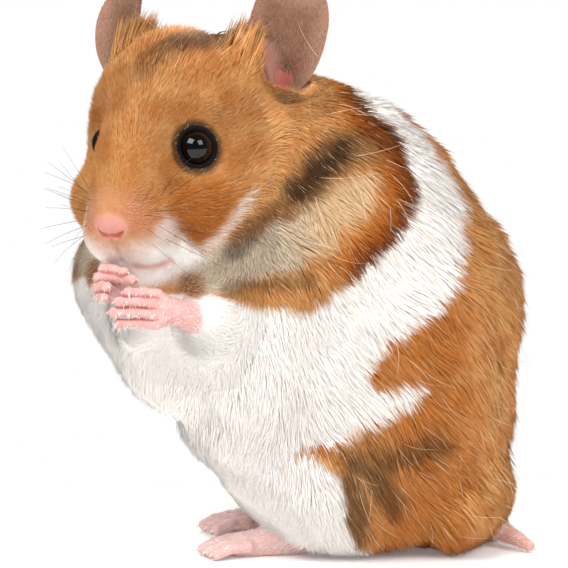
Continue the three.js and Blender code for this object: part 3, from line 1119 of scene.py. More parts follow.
def hair_finish():
    """The coat: each tuft a little lighter or darker than the next, with painted shade that darkens it
    towards its root, less on white hair.
    """
    finish = Finish("coat_hair")
    c = colours("hamster_hair")
    along, chance, _, _ = finish.attribute("strand")
    white, cream, _, _ = finish.attribute("markings")
    _, grey, pad, _ = finish.attribute("tones")
    flush, _, ear, deep = finish.attribute("flesh")
    total = coat_colour(finish)
    ticks = finish.math("MULTIPLY_ADD", finish.math("MULTIPLY", grey, cream), -0.3, 0.88)
    ticks = finish.math("GREATER_THAN", chance, ticks)
    ticks = finish.math("MULTIPLY", ticks, finish.math("SUBTRACT", 1.0, white))
    total = finish.mix(finish.math("MULTIPLY", ticks, 0.4), total, c["dusk"])
    pale = finish.math("LESS_THAN", chance, finish.math("MULTIPLY_ADD", pad, 0.35, 0.04))
    total = finish.mix(finish.math("MULTIPLY", pale, 0.6), total, c["cream"])
    speckle = finish.mix(finish.math("GREATER_THAN", chance, 0.5), c["ear_pale"], c["ear"])
    total = finish.mix(finish.math("MULTIPLY", ear, 0.85), total, speckle)
    # The hair there takes the same painted shade of the recesses.
    total = finish.mix(finish.math("MULTIPLY", deep, 0.7), total, colours("hamster_skin")["deep"])
    total = finish.mix(finish.math("MULTIPLY", flush, 1.7, clamp=True), total, c["blush"])
    # Painted shade: each tuft darker towards its root and less so on white hair, times a random tone for each
    # tuft.
    root_shade_and_tone = finish.math("MULTIPLY_ADD", along, 0.35, 0.76, True)
    root_shade_and_tone = finish.math("MULTIPLY", root_shade_and_tone, finish.math("MULTIPLY_ADD", chance, 0.18, 0.91))
    root_shade_and_tone = finish.math("ADD", root_shade_and_tone, finish.math("MULTIPLY", white, 0.12), clamp=True)
    root_shade_and_tone_grey = finish.node("CombineColor", i0=root_shade_and_tone, i1=root_shade_and_tone, i2=root_shade_and_tone).outputs[0]
    total = finish.mix(1.0, total, root_shade_and_tone_grey, "MULTIPLY")
    finish.shade(base_color=total, roughness=0.6, specular_ior_level=0.15)
    return finish.material


# ---- the coat -------------------------------------------------------------------------------------------


def stored(items, key, width, kind=np.float32):
    """The values that a mesh stores under a key, as rows."""
    values = np.empty(len(items) * width, kind)
    items.foreach_get(key, values)
    return values.reshape(-1, width)


def skin_surface(skin):
    """The skin's triangles as corner places, corner normals and corner UVs, in mm in the maker's frame."""
    mesh = skin.data
    mesh.calc_loop_triangles()
    corners = stored(mesh.loop_triangles, "vertices", 3, np.int32)
    loops = stored(mesh.loop_triangles, "loops", 3, np.int32)
    places = stored(mesh.vertices, "co", 3) / MM - SHIFT
    normals = stored(mesh.vertices, "normal", 3)
    flat = stored(mesh.uv_layers["OFBake"].uv, "vector", 2)
    return places[corners], normals[corners], flat[loops]


EAR_TUFT_LENGTH = 10  # of the long hair before the ear
EAR_HAIR_LENGTH = 0.8  # of the down on its leaf
EAR_TUFT = limb((-8.0, -5.0, 2.5), (-11.5, -1.5, 5.0), 0, 0)  # where that long hair grows, in the ear's frame
EAR_DIP_AT = (2.5, -5.5, 1.0)
LIP_AT = (4.4, -14.3, -16.2)
HAIR_PARTS_AT = (0, -19, -6)  # the hair of the head lies away from here


def hair_length(p):
    """The length of the coat at each point of the skin."""
    length = 0.4 + 1.75 * coat_depth(p)

    def shorten(centre, least, growth, free):
        """Shortens the hair to `least` round a place, growing again by `growth` for each mm past `free`."""
        beyond = np.maximum(distance(p, centre) - free, 0)
        length[:] = np.minimum(length, least + growth * beyond)

    for side, s in SIDES.items():
        shorten(ARMS[side]["palm"], 0.7, 0.25, 6)
        shorten((s * HIP_HALF, TOES_AT[side] + 6, 2), 0.7, 0.25, 8)
        shorten(HEAD.outwards(flipped(EYE_AT, s)), 0.45, 0.35, EYE_RADIUS + 0.4)
        shorten(HEAD.outwards(flipped(LIP_AT, s)), 0.5, 0.3, 3)
        shorten(HEAD.outwards(ear_place(s).outwards(EAR_DIP_AT)), 0.8, 0.45, 3)
    shorten(HEAD.outwards(NOSE[0]), 0.35, 0.25, 3)
    length = np.maximum(length, EAR_TUFT_LENGTH * before_ear(HEAD.inwards(p)))
    for s in SIDES.values():
        length[near_ear(ear_place(s).inwards(HEAD.inwards(p)))] = EAR_HAIR_LENGTH
    beyond_tail = np.maximum(np.linalg.norm(p - np.array(TAIL[1]), axis=1) - 8, 0)
    return np.minimum(length, 1.4 + 0.5 * beyond_tail)


def near_ear(ear):
    """Whether points in the ear's frame are on the ear's leaf."""
    a, b, c = ear.T
    out = b - leaf_middle(ear)
    high = (np.abs(a) < 8) & (np.abs(out) < 4.5) & (c > 7) & (c < EAR_HEIGHT + 2)
    low = (np.abs(a) < 4.3 + 0.55 * c) & (out > -3.2) & (out < 1.6) & (c > 2) & (c <= 7)
    return high | low


def before_ear(head):
    """How near points of the head are to the foot of an ear's inner edge, where the hair grows long."""
    near = np.zeros(len(head), np.float32)
    for s in SIDES.values():
        ear = ear_place(s).inwards(head)
        near = np.maximum(near, (1 - ramp(EAR_TUFT(ear), 2.2, 5.5)) * (1 - near_ear(ear)))
    return near


def flow(p, normal):
    """The way the hair lies at each point."""
    head = HEAD.inwards(p)
    from_nose = unit(head - np.array(HAIR_PARTS_AT, np.float32)) @ HEAD.rotation.T
    rearward = ramp(p[:, 1] + 0.25 * p[:, 2], -14, 26)
    down = np.stack([0 * rearward, mix(-0.25, 0.62, rearward), mix(-0.95, -0.78, rearward)], 1)
    along = unit(mix(down, from_nose, on_head(p, 0.95, 1.3)[:, None]))
    for side, s in SIDES.items():
        pose = ARMS[side]
        elbow, wrist = np.array(pose["elbow"], np.float32), np.array(pose["wrist"], np.float32)
        close = 1 - ramp(distance(p, wrist), 4, 11)[:, None]
        along = unit(mix(along, unit(wrist - elbow), close * 0.8))
        toe = np.array((s * HIP_HALF, TOES_AT[side], 1), np.float32)
        close = 1 - ramp(np.linalg.norm(p - toe - (0, 9, 2), axis=1), 8, 13)[:, None]
        along = unit(mix(along, np.array((0, -1, -0.2), np.float32), close))
        place = ear_place(s)
        tip = HEAD.outwards(place.outwards((0, 0, EAR_HEIGHT + 4)))
        side_of_head = (head[:, 0] * s > 0)[:, None]
        rising = before_ear(head)[:, None] * side_of_head
        edge = HEAD.outwards(place.outwards((-7.2, -3.5, 15)))
        along = unit(mix(along, unit(edge - p), 0.9 * rising))
        leaf = near_ear(place.inwards(head))[:, None]
        along = np.where(leaf, unit(tip - p), along)
    tail = ramp(-tail_form()(p), -1.5, 0)[:, None]
    along = unit(mix(along, unit(np.subtract(TAIL[1], TAIL[0])), tail))
    along = along - (along * normal).sum(1)[:, None] * normal
    return unit(along)


def areas(surface):
    """The area of each triangle of the skin."""
    a, b, c = surface[0].transpose(1, 0, 2)
    return np.linalg.norm(np.cross(b - a, c - a), axis=1) / 2


def scatter(surface, density, seed):
    """Roots spread over the skin: their places, normals and UVs. Density is in roots a square mm."""
    running = np.cumsum(areas(surface) * density)
    count = int(running[-1])
    rng = np.random.default_rng(seed)
    pick = np.searchsorted(running, (np.arange(count) + rng.random(count)) * running[-1] / count)
    pick = np.minimum(pick, len(running) - 1)
    a, b = rng.random((2, count)).astype(np.float32)
    over = a + b > 1
    a, b = np.where(over, 1 - a, a), np.where(over, 1 - b, b)
    weights = np.stack([1 - a - b, a, b], 1)[:, :, None]
    root, normal, patch = ((layer[pick] * weights).sum(1) for layer in surface)
    return root, unit(normal), patch


def gathered(root, tip, size, pull, seed):
    """Tips drawn together into locks of about `size` mm."""
    warped = root + 0.6 * size * np.stack([ripple(root, size * 2.5, seed + k) for k in range(3)], 1)
    cells = np.floor(warped / size).astype(np.int64)
    key = (cells * np.array((73856093, 19349663, 83492791))).sum(1)
    _, lock, members = np.unique(key, return_inverse=True, return_counts=True)
    middle = np.stack([np.bincount(lock, tip[:, k]) for k in range(3)], 1) / members[:, None]
    return mix(tip, middle[lock], pull).astype(np.float32)


LOCK_SIZE = 1.4  # the size of the locks that the tips of the tufts gather in


def tufts(surface, density, seed):
    """The curved spikes of one patch of coat, as arrays for each tuft."""
    root, normal, flat = scatter(surface, density, seed)
    rng = np.random.default_rng(seed + 1)
    count = len(root)
    length = hair_length(root) * rng.uniform(0.75, 1.15, count)
    along = flow(root, normal)
    across = np.cross(normal, along)
    yaw = np.radians(14 * ripple(root, 9, seed) + rng.normal(0, 9, count))[:, None]
    along = along * np.cos(yaw) + across * np.sin(yaw)
    lift = rng.normal(23, 6, count) + 4 * ripple(root, 6, seed + 2) + 22 * before_ear(HEAD.inwards(root))
    lift = np.radians(np.clip(lift, 8, 50))[:, None]
    half = length[:, None] * 0.5
    middle = root + half * (along * np.cos(lift * 1.25) + normal * np.sin(lift * 1.25))
    tip = middle + half * (along * np.cos(lift * 0.7) + normal * np.sin(lift * 0.7))
    pull = np.clip(length[:, None] * 0.09, 0.1, 0.5)
    tip = gathered(root, tip, LOCK_SIZE, pull, seed + 3)
    middle = mix(middle, gathered(root, middle, LOCK_SIZE, pull, seed + 3), 0.5)
    chance = rng.random(count)
    return dict(root=root, middle=middle, tip=tip, normal=normal, flat=flat, length=length, chance=chance)


TUFT_CORNERS = (150, 30, 270)  # where the corners of a tuft's section stand, in degrees
BENT_AT = 0.8  # where a bent tuft is widest, from its root to its middle
BENT_REACH = 0.45  # and how far along the whole tuft that is
MARKED_AT = 0.78  # how far from its root to its tip a tuft takes its markings
PATCH_RADIUS = 0.0015  # of each tuft's patch on the map OFBake
LEAST_HEIGHT = 0.1  # of the coat over the floor


def tuft_shape(t, bent, width):
    """Closed three-sided spikes: the corners, outward ways and reach of each, and the faces of the first.

    A bent tuft is widest near its middle, a straight one at its root.
    """
    sunk = np.minimum(0.3, 0.08 * t["length"])[:, None] * t["normal"]
    root, tip = t["root"] - sunk, t["tip"]
    axis = unit(tip - root)
    side = unit(np.cross(axis, t["normal"]))
    back = np.cross(side, axis)
    widest = mix(t["root"], t["middle"], BENT_AT) if bent else root
    out = [side * math.cos(angle) + back * math.sin(angle) for angle in map(math.radians, TUFT_CORNERS)]
    points = [widest + ray * width[:, None] for ray in out] + [tip]
    out.append(axis)
    reach = [BENT_REACH if bent else 0.0] * 3 + [1.0]
    faces = [(k, (k + 1) % 3, 3) for k in range(3)]
    if bent:
        points.append(root)
        out.append(axis)
        reach.append(0.0)
        faces += [((k + 1) % 3, k, 4) for k in range(3)]
    else:
        faces.append((0, 2, 1))
    return np.stack(points, 1), np.stack(out, 1), np.array(reach), np.array(faces)


def tuft_mesh(name, t, finish, bent, width):
    """One mesh of tufts, with its markings, its rounded shading and its map."""
    points, out, reach, faces = tuft_shape(t, bent, width)
    points[..., 2] = np.maximum(points[..., 2], LEAST_HEIGHT)
    count, per = points.shape[:2]
    faces = (faces + (np.arange(count) * per)[:, None, None]).reshape(-1, 3)
    mesh = mesh_piece(name, points.reshape(-1, 3), faces, finish).data
    fur, skin = fur_marks(mix(t["root"], t["tip"], MARKED_AT)), skin_marks(t["root"])
    on_feet = 0.85 * ramp(skin["bare"], 0.2, 0.6) * (1 - skin["ear"]) * (1 - ramp(skin["flush"], 0, 0.1))
    fur["white"] = np.maximum(fur["white"], on_feet) * (1 - skin["rim"])
    fur["dusk"] = np.maximum(fur["dusk"], skin["rim"])
    paint_marks(mesh, fur, skin, per)
    strand = np.ones((count, per, 4), np.float32)
    strand[..., 0], strand[..., 1] = reach, t["chance"][:, None]
    paint(mesh, "strand", strand.reshape(-1, 4))
    round_off = mix(0.5, 0.2, fur["white"])[:, None, None]
    normals = unit(0.7 * t["normal"][:, None] + round_off * out)
    mesh.normals_split_custom_set_from_vertices(normals.reshape(-1, 3))
    angles = np.linspace(0, 2 * math.pi, per, endpoint=False)
    spread = PATCH_RADIUS * np.array([(math.cos(a), math.sin(a)) for a in angles])
    patch = (t["flat"][:, None] + spread[None]).reshape(-1, 2)
    layer = mesh.uv_layers.new(name="OFBake")
    layer.uv.foreach_set("vector", patch[faces.ravel()].astype(np.float32).ravel())


# ---- settings ---------------------------------------------------------------------------------------------

VIEW_PIXELS = 568  # the view's width
PIXELS_A_MM = 5.5  # how many of them span a millimetre at the animal


class HamsterStage(PropertyGroup):
    """The camera, floor and light."""

    turn: FloatProperty(
        name="Turn",
        description="Where the camera stands, from the back",
        default=math.radians(SIDE_VIEW_TURN),
        unit="ROTATION",
    )
    tilt: FloatProperty(
        name="Tilt",
        description="How far above level the camera stands",
        default=math.radians(SIDE_VIEW_TILT),
        unit="ROTATION",
    )
    away: FloatProperty(
        name="Distance",
        description="From the camera to the animal",
        default=SIDE_VIEW_AWAY * MM,
        unit="LENGTH",
    )
    shown: FloatProperty(
        name="Shown",
        description="The width of the view at the animal",
        default=VIEW_PIXELS / PIXELS_A_MM * MM,
        unit="LENGTH",
    )


def shade(name, text, description):
    """A colour that a user may change."""
    return FloatVectorProperty(
        name=name, description=description, default=colour(text), min=0, max=1, size=3, subtype="COLOR"
    )


class HamsterHair(PropertyGroup):
    """The colours of the coat."""

    tan: shade("Tan", "E6B274", "The lighter golden hairs")
    orange: shade("Orange", "CF7E36", "The darker golden hairs")
    deep: shade("Deep orange", "C87428", "The hairs of the cheeks and along the band")
    rust: shade("Rust", "96470B", "The darkest of the orange hairs")
    white: shade("White", "FFFBF6", "The band, the belly and the muzzle")
    cream: shade("Cream", "EAC598", "The pale hairs of the neck's side")
    grey: shade("Grey", "DCC8AE", "The pale hairs behind the cheek")
    # Dusk also paints the shadows: on the cheek, beside the white, along the band, on the haunch, at the feet
    # of the ears and under the chin.
    dusk: shade("Dusk", "3F2A1A", "The dark flashes and ticks")
    ear: shade("Ear", "5F4636", "The dark hairs of the ears")
    ear_pale: shade("Pale ear", "A98973", "The pale hairs of the ears")
    # The whisker pad's colour also paints the shade in the hollow between the chin and the arm.
    pad: shade("Whisker pad", "C6703C", "The hairs where the whiskers stand")
    blush: shade("Blush", "E2AA8E", "The hairs around the nose")


class HamsterSkin(PropertyGroup):
    """The colours of the bare skin."""

    bare: shade("Bare", "D8ABA6", "The hands, feet and tail")
    flush: shade("Flush", "BC7868", "The nose, the lips and the folds of the skin")
    rim: shade("Rim", "050303", "The rims of the eyes")
    ear: shade("Ear", "86604A", "The ear's leaf")
    ear_deep: shade("Ear's mottle", "6A4638", "The darker mottling of the ear's leaf")
    ear_rim: shade("Ear's rim", "A98470", "The edge of the ear's inner face")
    # Painted shade: the dark red of the gaps between the fingers, the ear's hollow and the nostrils.
    deep: shade("Deep", "A8403A", "The gaps between the fingers and the hollow of the ear")


class HamsterCoat(PropertyGroup):
    """The coat."""

    fullness: FloatProperty(
        name="Fullness", description="How dense the tufts stand", default=1.0, min=0.05, max=1.2
    )


def settings(name):
    """One of the scene's groups of settings."""
    return getattr(bpy.context.scene, name)


# ---- operators --------------------------------------------------------------------------------------------

FLESH = ["head", "neck", "trunk", "tail"] + [
    f"{side}_{part}" for side in SIDES for part in ("ear", "arm", "forepaw", "haunch", "hind_foot")
]


SENSOR_WIDTH = 36  # mm
FLOOR_SIZE = 3  # m
FLOOR_END = -0.045  # where the floor's far edge lies, in m
LAMP_AWAY = 0.8  # m
LAMPS = (  # the turn from the camera and the height in degrees, the size in m and the power in W
    ("key", -40, 50, 0.42, 4.4),
    ("fill", 44, 42, 0.42, 3.2),
    ("rim", 175, 50, 0.5, 2.5),
)
SKY_LIGHT, SKY_SEEN, SKY_MIRRORED = 0.7, 1.0, 0.15  # how bright the surroundings are to each kind of ray


def placed(name, data, target, ray, away):
    """Puts a camera or a lamp at a distance along a ray from the target, and aims it at the target."""
    ray = Vector(ray)
    thing = bpy.data.objects.new(name, data)
    bpy.context.scene.collection.objects.link(thing)
    thing.location = target + ray * away
    thing.rotation_euler = (-ray).to_track_quat("-Z", "Y").to_euler()
    return thing


def pale_floor():
    """A sheet of pale paper that ends a little behind the animal."""
    finish = Finish("pale_paper")
    finish.shade(base_color=(0.9, 0.87, 0.86), roughness=0.8)
    finish.shade(emission_color=(1, 0.985, 0.98), emission_strength=0.12)
    floor = bpy.data.objects.new("floor", bpy.data.meshes.new("floor"))
    corners = ((FLOOR_END, -1), (FLOOR_SIZE, -1), (FLOOR_SIZE, 1), (FLOOR_END, 1))
    floor.data.from_pydata([(x, y * FLOOR_SIZE, 0) for x, y in corners], [], [(0, 1, 2, 3)])
    floor.data.materials.append(finish.material)
    bpy.context.scene.collection.objects.link(floor)


def studio():
    """White surroundings that the camera sees brighter than they light, and that mirrors see darker."""
    world = bpy.data.worlds.new("studio")
    world.use_nodes = True
    tree = world.node_tree
    sky, seen = tree.nodes["Background"], tree.nodes.new("ShaderNodeLightPath")
    bright = tree.nodes.new("ShaderNodeMapRange")
    bright.inputs["To Min"].default_value = SKY_LIGHT
    bright.inputs["To Max"].default_value = SKY_SEEN
    tree.links.new(seen.outputs["Is Camera Ray"], bright.inputs["Value"])
    mirrored = tree.nodes.new("ShaderNodeMath")
    mirrored.operation = "MULTIPLY_ADD"
    mirrored.inputs[1].default_value = SKY_MIRRORED - SKY_LIGHT
    tree.links.new(seen.outputs["Is Glossy Ray"], mirrored.inputs[0])
    tree.links.new(bright.outputs[0], mirrored.inputs[2])
    tree.links.new(mirrored.outputs[0], sky.inputs["Strength"])
    sky.inputs["Color"].default_value = (1, 1, 1, 1)
    return world


class HAMSTER_OT_stage(Operator):
    """Sets up the camera, the pale floor and the soft light"""

    bl_idname = "hamster.stage"
    bl_label = "Stage"

    def execute(self, context):
        stage = settings("hamster_stage")
        target = Vector(((SIDE_VIEW_MIDDLE + SHIFT) * MM).tolist())
        camera = bpy.data.cameras.new("camera")
        camera.sensor_width = SENSOR_WIDTH
        camera.lens = SENSOR_WIDTH * stage.away / stage.shown
        camera.clip_start = 0.01
        context.scene.camera = placed("camera", camera, target, towards(stage.turn, stage.tilt), stage.away)
        pale_floor()
        for name, turned, height, size, power in LAMPS:
            lamp = bpy.data.lights.new(name, "AREA")
            lamp.shape, lamp.size, lamp.energy = "SQUARE", size, power
            ray = towards(stage.turn + math.radians(turned), math.radians(height))
            placed(name, lamp, target, ray, LAMP_AWAY)
        context.scene.world = studio()
        context.scene.view_settings.view_transform = "Standard"
        return {"FINISHED"}


SKIN_GRID = (  # along X, Y and Z: from where, in mm, the mesh has which step
    ((-27, 0.66), (30, None)),
    ((-41, 0.6), (8, 1.0), (48, None)),
    ((-1, 0.6), (6, 1.0), (43, 0.6), (106, None)),
)
FINER = (  # twice, how near these the mesh is made finer
    dict(eye=7, paw=0.4, muzzle=8.5, foot=0.4),
    dict(eye=4.8, paw=0.1, muzzle=6),
)
MUZZLE_AT = (0, -14, -12)


class HAMSTER_OT_skin(Operator):
    """Builds the skin that stands for every part of flesh"""

    bl_idname = "hamster.skin"
    bl_label = "Skin"

    def execute(self, context):
        field = skin_field()
        points, quads = surface_net(field, [grid_steps(*stops) for stops in SKIN_GRID])
        points = settle(field, points)
        faces = split_quads(points, quads)
        for reach in FINER:
            points, faces = refine(points, faces, fine_detail(points[faces].mean(1), reach))
            points = settle(field, points)
        points, faces = joined([(points, faces), ear_leaf(LEFT), ear_leaf(RIGHT)])
        skin = mesh_piece("skin", points, faces, skin_finish(), FLESH)
        paint_marks(skin.data, fur_marks(points), skin_marks(points))
        unwrap(skin)
        return {"FINISHED"}


def fine_detail(p, reach):
    """Which places of the skin need a finer mesh: the face, the paws and the feet, each within its reach."""
    chosen = distance(p, HEAD.outwards(MUZZLE_AT)) < reach["muzzle"]
    for side, s in SIDES.items():
        chosen |= distance(p, HEAD.outwards(flipped(EYE_AT, s))) < reach["eye"]
        chosen |= paw_form(ARMS[side])(p) < reach["paw"]
        if "foot" in reach:
            chosen |= foot_form(side)(p) < reach["foot"]
    return chosen


def unwrap(skin):
    """Lays the skin out flat on the map OFBake."""
    skin.data.uv_layers.new(name="OFBake")
    bpy.context.view_layer.objects.active = skin
    bpy.ops.object.select_all(action="DESELECT")
    skin.select_set(True)
    bpy.ops.object.mode_set(mode="EDIT")
    bpy.ops.mesh.select_all(action="SELECT")
    bpy.ops.uv.smart_project(angle_limit=math.radians(66), island_margin=0.002)
    bpy.ops.object.mode_set(mode="OBJECT")


def tube(path, radii, sides):
    """A closed round tube along a path, as points and triangles. It ends in a point at both ends."""
    path = np.asarray(path, np.float32)
    along = unit(np.gradient(path, axis=0))
    first = unit(np.cross(along, (0.31, 0.27, 0.91)))
    second = np.cross(along, first)
    angles = np.arange(sides) * 2 * math.pi / sides
    ring = first[:, None] * np.cos(angles)[:, None] + second[:, None] * np.sin(angles)[:, None]
    points = path[:, None] + ring * np.asarray(radii, np.float32)[:, None, None]
    ends = np.stack([path[0] - along[0] * radii[0] * 0.6, path[-1] + along[-1] * radii[-1] * 2])
    return np.concatenate([points.reshape(-1, 3), ends]), ring_faces(len(path), sides)


def joined(parts):
    """Several (points, faces) as one."""
    points, faces, count = [], [], 0
    for part_points, part_faces in parts:
        points.append(part_points)
        faces.append(part_faces + count)
        count += len(part_points)
    return np.concatenate(points), np.concatenate(faces)


def bezier(a, b, c, steps):
    """Points along a curve that leaves a for b and arrives at c."""
    t = np.linspace(0, 1, steps)[:, None]
    return (1 - t) ** 2 * np.array(a) + 2 * t * (1 - t) * np.array(b) + t * t * np.array(c)


EYE_SUNK = 0.06  # how much smaller the ball is than the hole for it
EYE_BULGE = 0.16  # how far the front of the ball stands out
BULGE_WIDTH = 38  # degrees


def eyeball(side):
    """An eyeball with its clear bulge, turned about the gaze, and how far each point is from the gaze."""
    rings, around = 40, 56
    gaze = unit(flipped(GAZE, side))
    first = unit(np.cross(gaze, (0, 0, 1)))
    second = np.cross(gaze, first)
    angle = np.linspace(0, math.pi, rings)[1:-1]
    radius = EYE_RADIUS - EYE_SUNK + EYE_BULGE * np.exp(-((angle / math.radians(BULGE_WIDTH)) ** 2))
    spin = np.arange(around) * 2 * math.pi / around
    ring = first * np.cos(spin)[:, None] + second * np.sin(spin)[:, None]
    cosine, sine = np.cos(angle)[:, None, None], np.sin(angle)[:, None, None]
    points = radius[:, None, None] * (gaze * cosine + ring * sine)
    poles = np.stack([gaze * (EYE_RADIUS - EYE_SUNK + EYE_BULGE), -gaze * (EYE_RADIUS - EYE_SUNK)])
    faces = ring_faces(len(angle), around)[:, [0, 2, 1]]
    local = np.concatenate([points.reshape(-1, 3), poles]) + np.array(flipped(EYE_AT, side))
    off = np.concatenate([np.repeat(angle, around), [0, math.pi]])
    return HEAD.outwards(local), faces, off


PUPIL, IRIS_DARK, IRIS_LIGHT = "050404", "040303", "060403"
PUPIL_EDGE = (0.2, 0.3)  # where the pupil ends, as parts of the way from the gaze round to the eye's back
CLAW_PINK, CLAW_PALE = "E9CDBE", "F3E6DA"
WHISKER_DARK, WHISKER_LIGHT = "1D1512", "4A3A31"
GUARD_PALE, GUARD_GOLD = "F7EAD8", "E6B98A"


def eye_finish():
    """A dark wet eye: a black pupil in an iris of the darkest brown."""
    finish = Finish("dark_eye")
    off = finish.attribute("off_gaze")[0]
    fleck = finish.math("MULTIPLY_ADD", finish.noise(0.5, 3), 0.5, 0.1, True)
    iris = finish.mix(fleck, colour(IRIS_DARK), colour(IRIS_LIGHT))
    start, end = PUPIL_EDGE
    pupil = finish.node("MapRange", dict(interpolation_type="SMOOTHSTEP"), i0=off, i1=start, i2=end)
    total = finish.mix(pupil.outputs[0], colour(PUPIL), iris)
    finish.shade(base_color=total, roughness=0.03, specular_ior_level=0.4)
    return finish.material


def horn_finish():
    """Pale claws, pinker in places."""
    finish = Finish("pale_horn")
    total = finish.mix(finish.noise(0.8, 2), colour(CLAW_PINK), colour(CLAW_PALE))
    finish.shade(base_color=total, roughness=0.35, subsurface_weight=0.3, subsurface_scale=0.6 * MM)
    return finish.material


def whisker_finish():
    """Dark whiskers, lighter in places."""
    finish = Finish("dark_whisker")
    total = finish.mix(finish.noise(3, 2), colour(WHISKER_DARK), colour(WHISKER_LIGHT))
    finish.shade(base_color=total, roughness=0.4)
    return finish.material


def guard_finish():
    """Long pale hairs, golden in places."""
    finish = Finish("pale_guard_hair")
    total = finish.mix(finish.noise(3, 2), colour(GUARD_PALE), colour(GUARD_GOLD))
    finish.shade(base_color=total, roughness=0.45)
    return finish.material


CLAW_STEPS = 7


def claw(knuckle, tip, length, radius):
    """A curved claw at the end of a toe."""
    knuckle, tip = np.array(knuckle, float), np.array(tip, float)
    ahead = unit(tip - knuckle)
    droop = np.array((0, 0, -1.0))
    start = tip + ahead * 0.35 + (0, 0, 0.15)
    end = start + ahead * length * 0.85 + droop * length * 0.4
    path = bezier(start, start + ahead * length * 0.7, end, CLAW_STEPS)
    path[:, 2] = np.maximum(path[:, 2], radius * np.linspace(1, 0.15, CLAW_STEPS))
    return tube(path, radius * np.linspace(1, 0.12, CLAW_STEPS), 8)


class HAMSTER_OT_eyes(Operator):
    """Puts the two eyes in"""

    bl_idname = "hamster.eyes"
    bl_label = "Eyes"

    def execute(self, context):
        finish = eye_finish()
        for side, s in SIDES.items():
            points, faces, off = eyeball(s)
            eye = mesh_piece(f"{side}_eyeball", points, faces, finish, [f"{side}_eye"])
            paint(eye.data, "off_gaze", np.repeat(off[:, None] / math.pi, 4, axis=1))
        return {"FINISHED"}


FORE_CLAW = (1.1, 0.28)  # its length and radius
HIND_CLAW = (1.4, 0.36)


class HAMSTER_OT_claws(Operator):
    """Puts the claws on all four feet"""

    bl_idname = "hamster.claws"
    bl_label = "Claws"

    def execute(self, context):
        finish = horn_finish()
        for side in SIDES:
            fore = ("fore", ARMS[side]["fingers"], *FORE_CLAW)
            hind = ("hind", toes(side), *HIND_CLAW)
            for foot, digits, length, radius in (fore, hind):
                points, faces = joined([claw(*digit, length, radius) for digit in digits])
                nodes = [f"{side}_{foot}_claw_{n + 1}" for n in range(len(digits))]
                mesh_piece(f"{side}_{foot}_claws", points, faces, finish, nodes)
        return {"FINISHED"}


WHISKER_ROWS, WHISKERS_IN_ROW = 4, 4
WHISKER_RADII = (0.05, 0.015)  # at its root and at its tip
WHISKER_SEED = 5


def whisker(row, place, rng):
    """The path of a left whisker, in the head's frame. Rows count down, and places to the rear."""
    root = np.array((4.6 + 1.1 * place, -13.2 + 1.5 * place - 0.3 * row, -5.6 - 1.9 * row))
    length = rng.uniform(0.7, 1.2) * (7 + 2.6 * place + 1.2 * row)
    out = np.array((1.0, -0.35 + 0.32 * place, 0.75 - 0.42 * row)) + rng.normal(0, 0.2, 3)
    out = out / np.linalg.norm(out)
    end = root + out * length + np.array((0, 0.12, -0.16)) * length * rng.uniform(0.5, 1.4)
    return bezier(root - out * 1.2, root + out * length * 0.5, end, 12)


class HAMSTER_OT_whiskers(Operator):
    """Puts the whiskers on both sides of the muzzle"""

    bl_idname = "hamster.whiskers"
    bl_label = "Whiskers"

    def execute(self, context):
        rng = np.random.default_rng(WHISKER_SEED)
        hairs = []
        for s in SIDES.values():
            for row in range(WHISKER_ROWS):
                for place in range(WHISKERS_IN_ROW):
                    path = [flipped(q, s) for q in whisker(row, place, rng)]
                    radii = np.linspace(*WHISKER_RADII, len(path))
                    hairs.append(tube(HEAD.outwards(np.array(path)), radii, 4))
        points, faces = joined(hairs)
        mesh_piece("whiskers", points, faces, whisker_finish())
        return {"FINISHED"}


GUARD_DENSITY = 0.05  # hairs a square mm
GUARD_LENGTH = (7, 11)  # the least and the most
GUARD_RADII = (0.055, 0.015)  # at its root and at its tip
GUARD_LEAST_HEIGHT = 0.15  # over the floor
GUARD_SEED = 71


def guard_hair(root, along, across, normal, rng):
    """The path of one long hair, which leaves its root a little off the lie of the coat and bends down."""
    length = rng.uniform(*GUARD_LENGTH)
    way = unit(along + across * rng.normal(0, 0.45) + normal * rng.uniform(0.45, 0.8))
    bend = across * rng.normal(0, 0.28) - normal * 0.15
    path = bezier(root, root + way * length * 0.55, root + length * (way + bend), 8)
    path[:, 2] = np.maximum(path[:, 2], GUARD_LEAST_HEIGHT)
    return path


class HAMSTER_OT_guard_hairs(Operator):
    """Stands long pale hairs over the coat of the back and haunches"""

    bl_idname = "hamster.guard_hairs"
    bl_label = "Guard hairs"

    def execute(self, context):
        surface = skin_surface(bpy.data.objects["skin"])
        middle = surface[0].mean(1)
        back = ramp(middle[:, 1], -4, 14) * (middle[:, 2] > 5) * (on_head(middle, 1.0, 1.3) < 0.2)
        root, normal, _ = scatter(surface, GUARD_DENSITY * back, GUARD_SEED)
        rng = np.random.default_rng(GUARD_SEED + 1)
        kept = rng.random(len(root)) < 1 - 0.8 * fur_marks(root)["white"]
        root, normal = root[kept], normal[kept]
        along = flow(root, normal)
        hairs = []
        for place in zip(root, along, np.cross(normal, along), normal):
            path = guard_hair(*place, rng)
            hairs.append(tube(path, np.linspace(*GUARD_RADII, len(path)), 3))
        points, faces = joined(hairs)
        mesh_piece("guard_hairs", points, faces, guard_finish())
        return {"FINISHED"}


LONG_HAIR = 3.2  # from this length on, a tuft is bent
TUFT_WIDTH = (0.05, 0.13)  # the least and the most
TUFTS_A_PIECE = {"long": 33_000, "short": 49_000}
COAT_SEED = 100
SIDES_APART = 1000  # far more than the animal's height, so that a piece's triangles lie on one side


def coat_density(middle, length):
    """How many tufts stand on a square mm: fewer where they are long, and few or none on bare skin."""
    full = np.where(length > LONG_HAIR, 59 / length**0.9, 25 / length**0.2)
    density = settings("hamster_coat").fullness * full
    skin = skin_marks(middle)
    density = density * (1 - 0.93 * ramp(skin["bare"], 0.3, 0.8))
    density = density * (1 - 0.35 * skin["ear"]) * (1 - 0.5 * skin["cup"])
    return np.where((skin["rim"] > 0.97) | (skin["deep"] > 0.5) | (skin["flush"] > 0.4), 0, density)


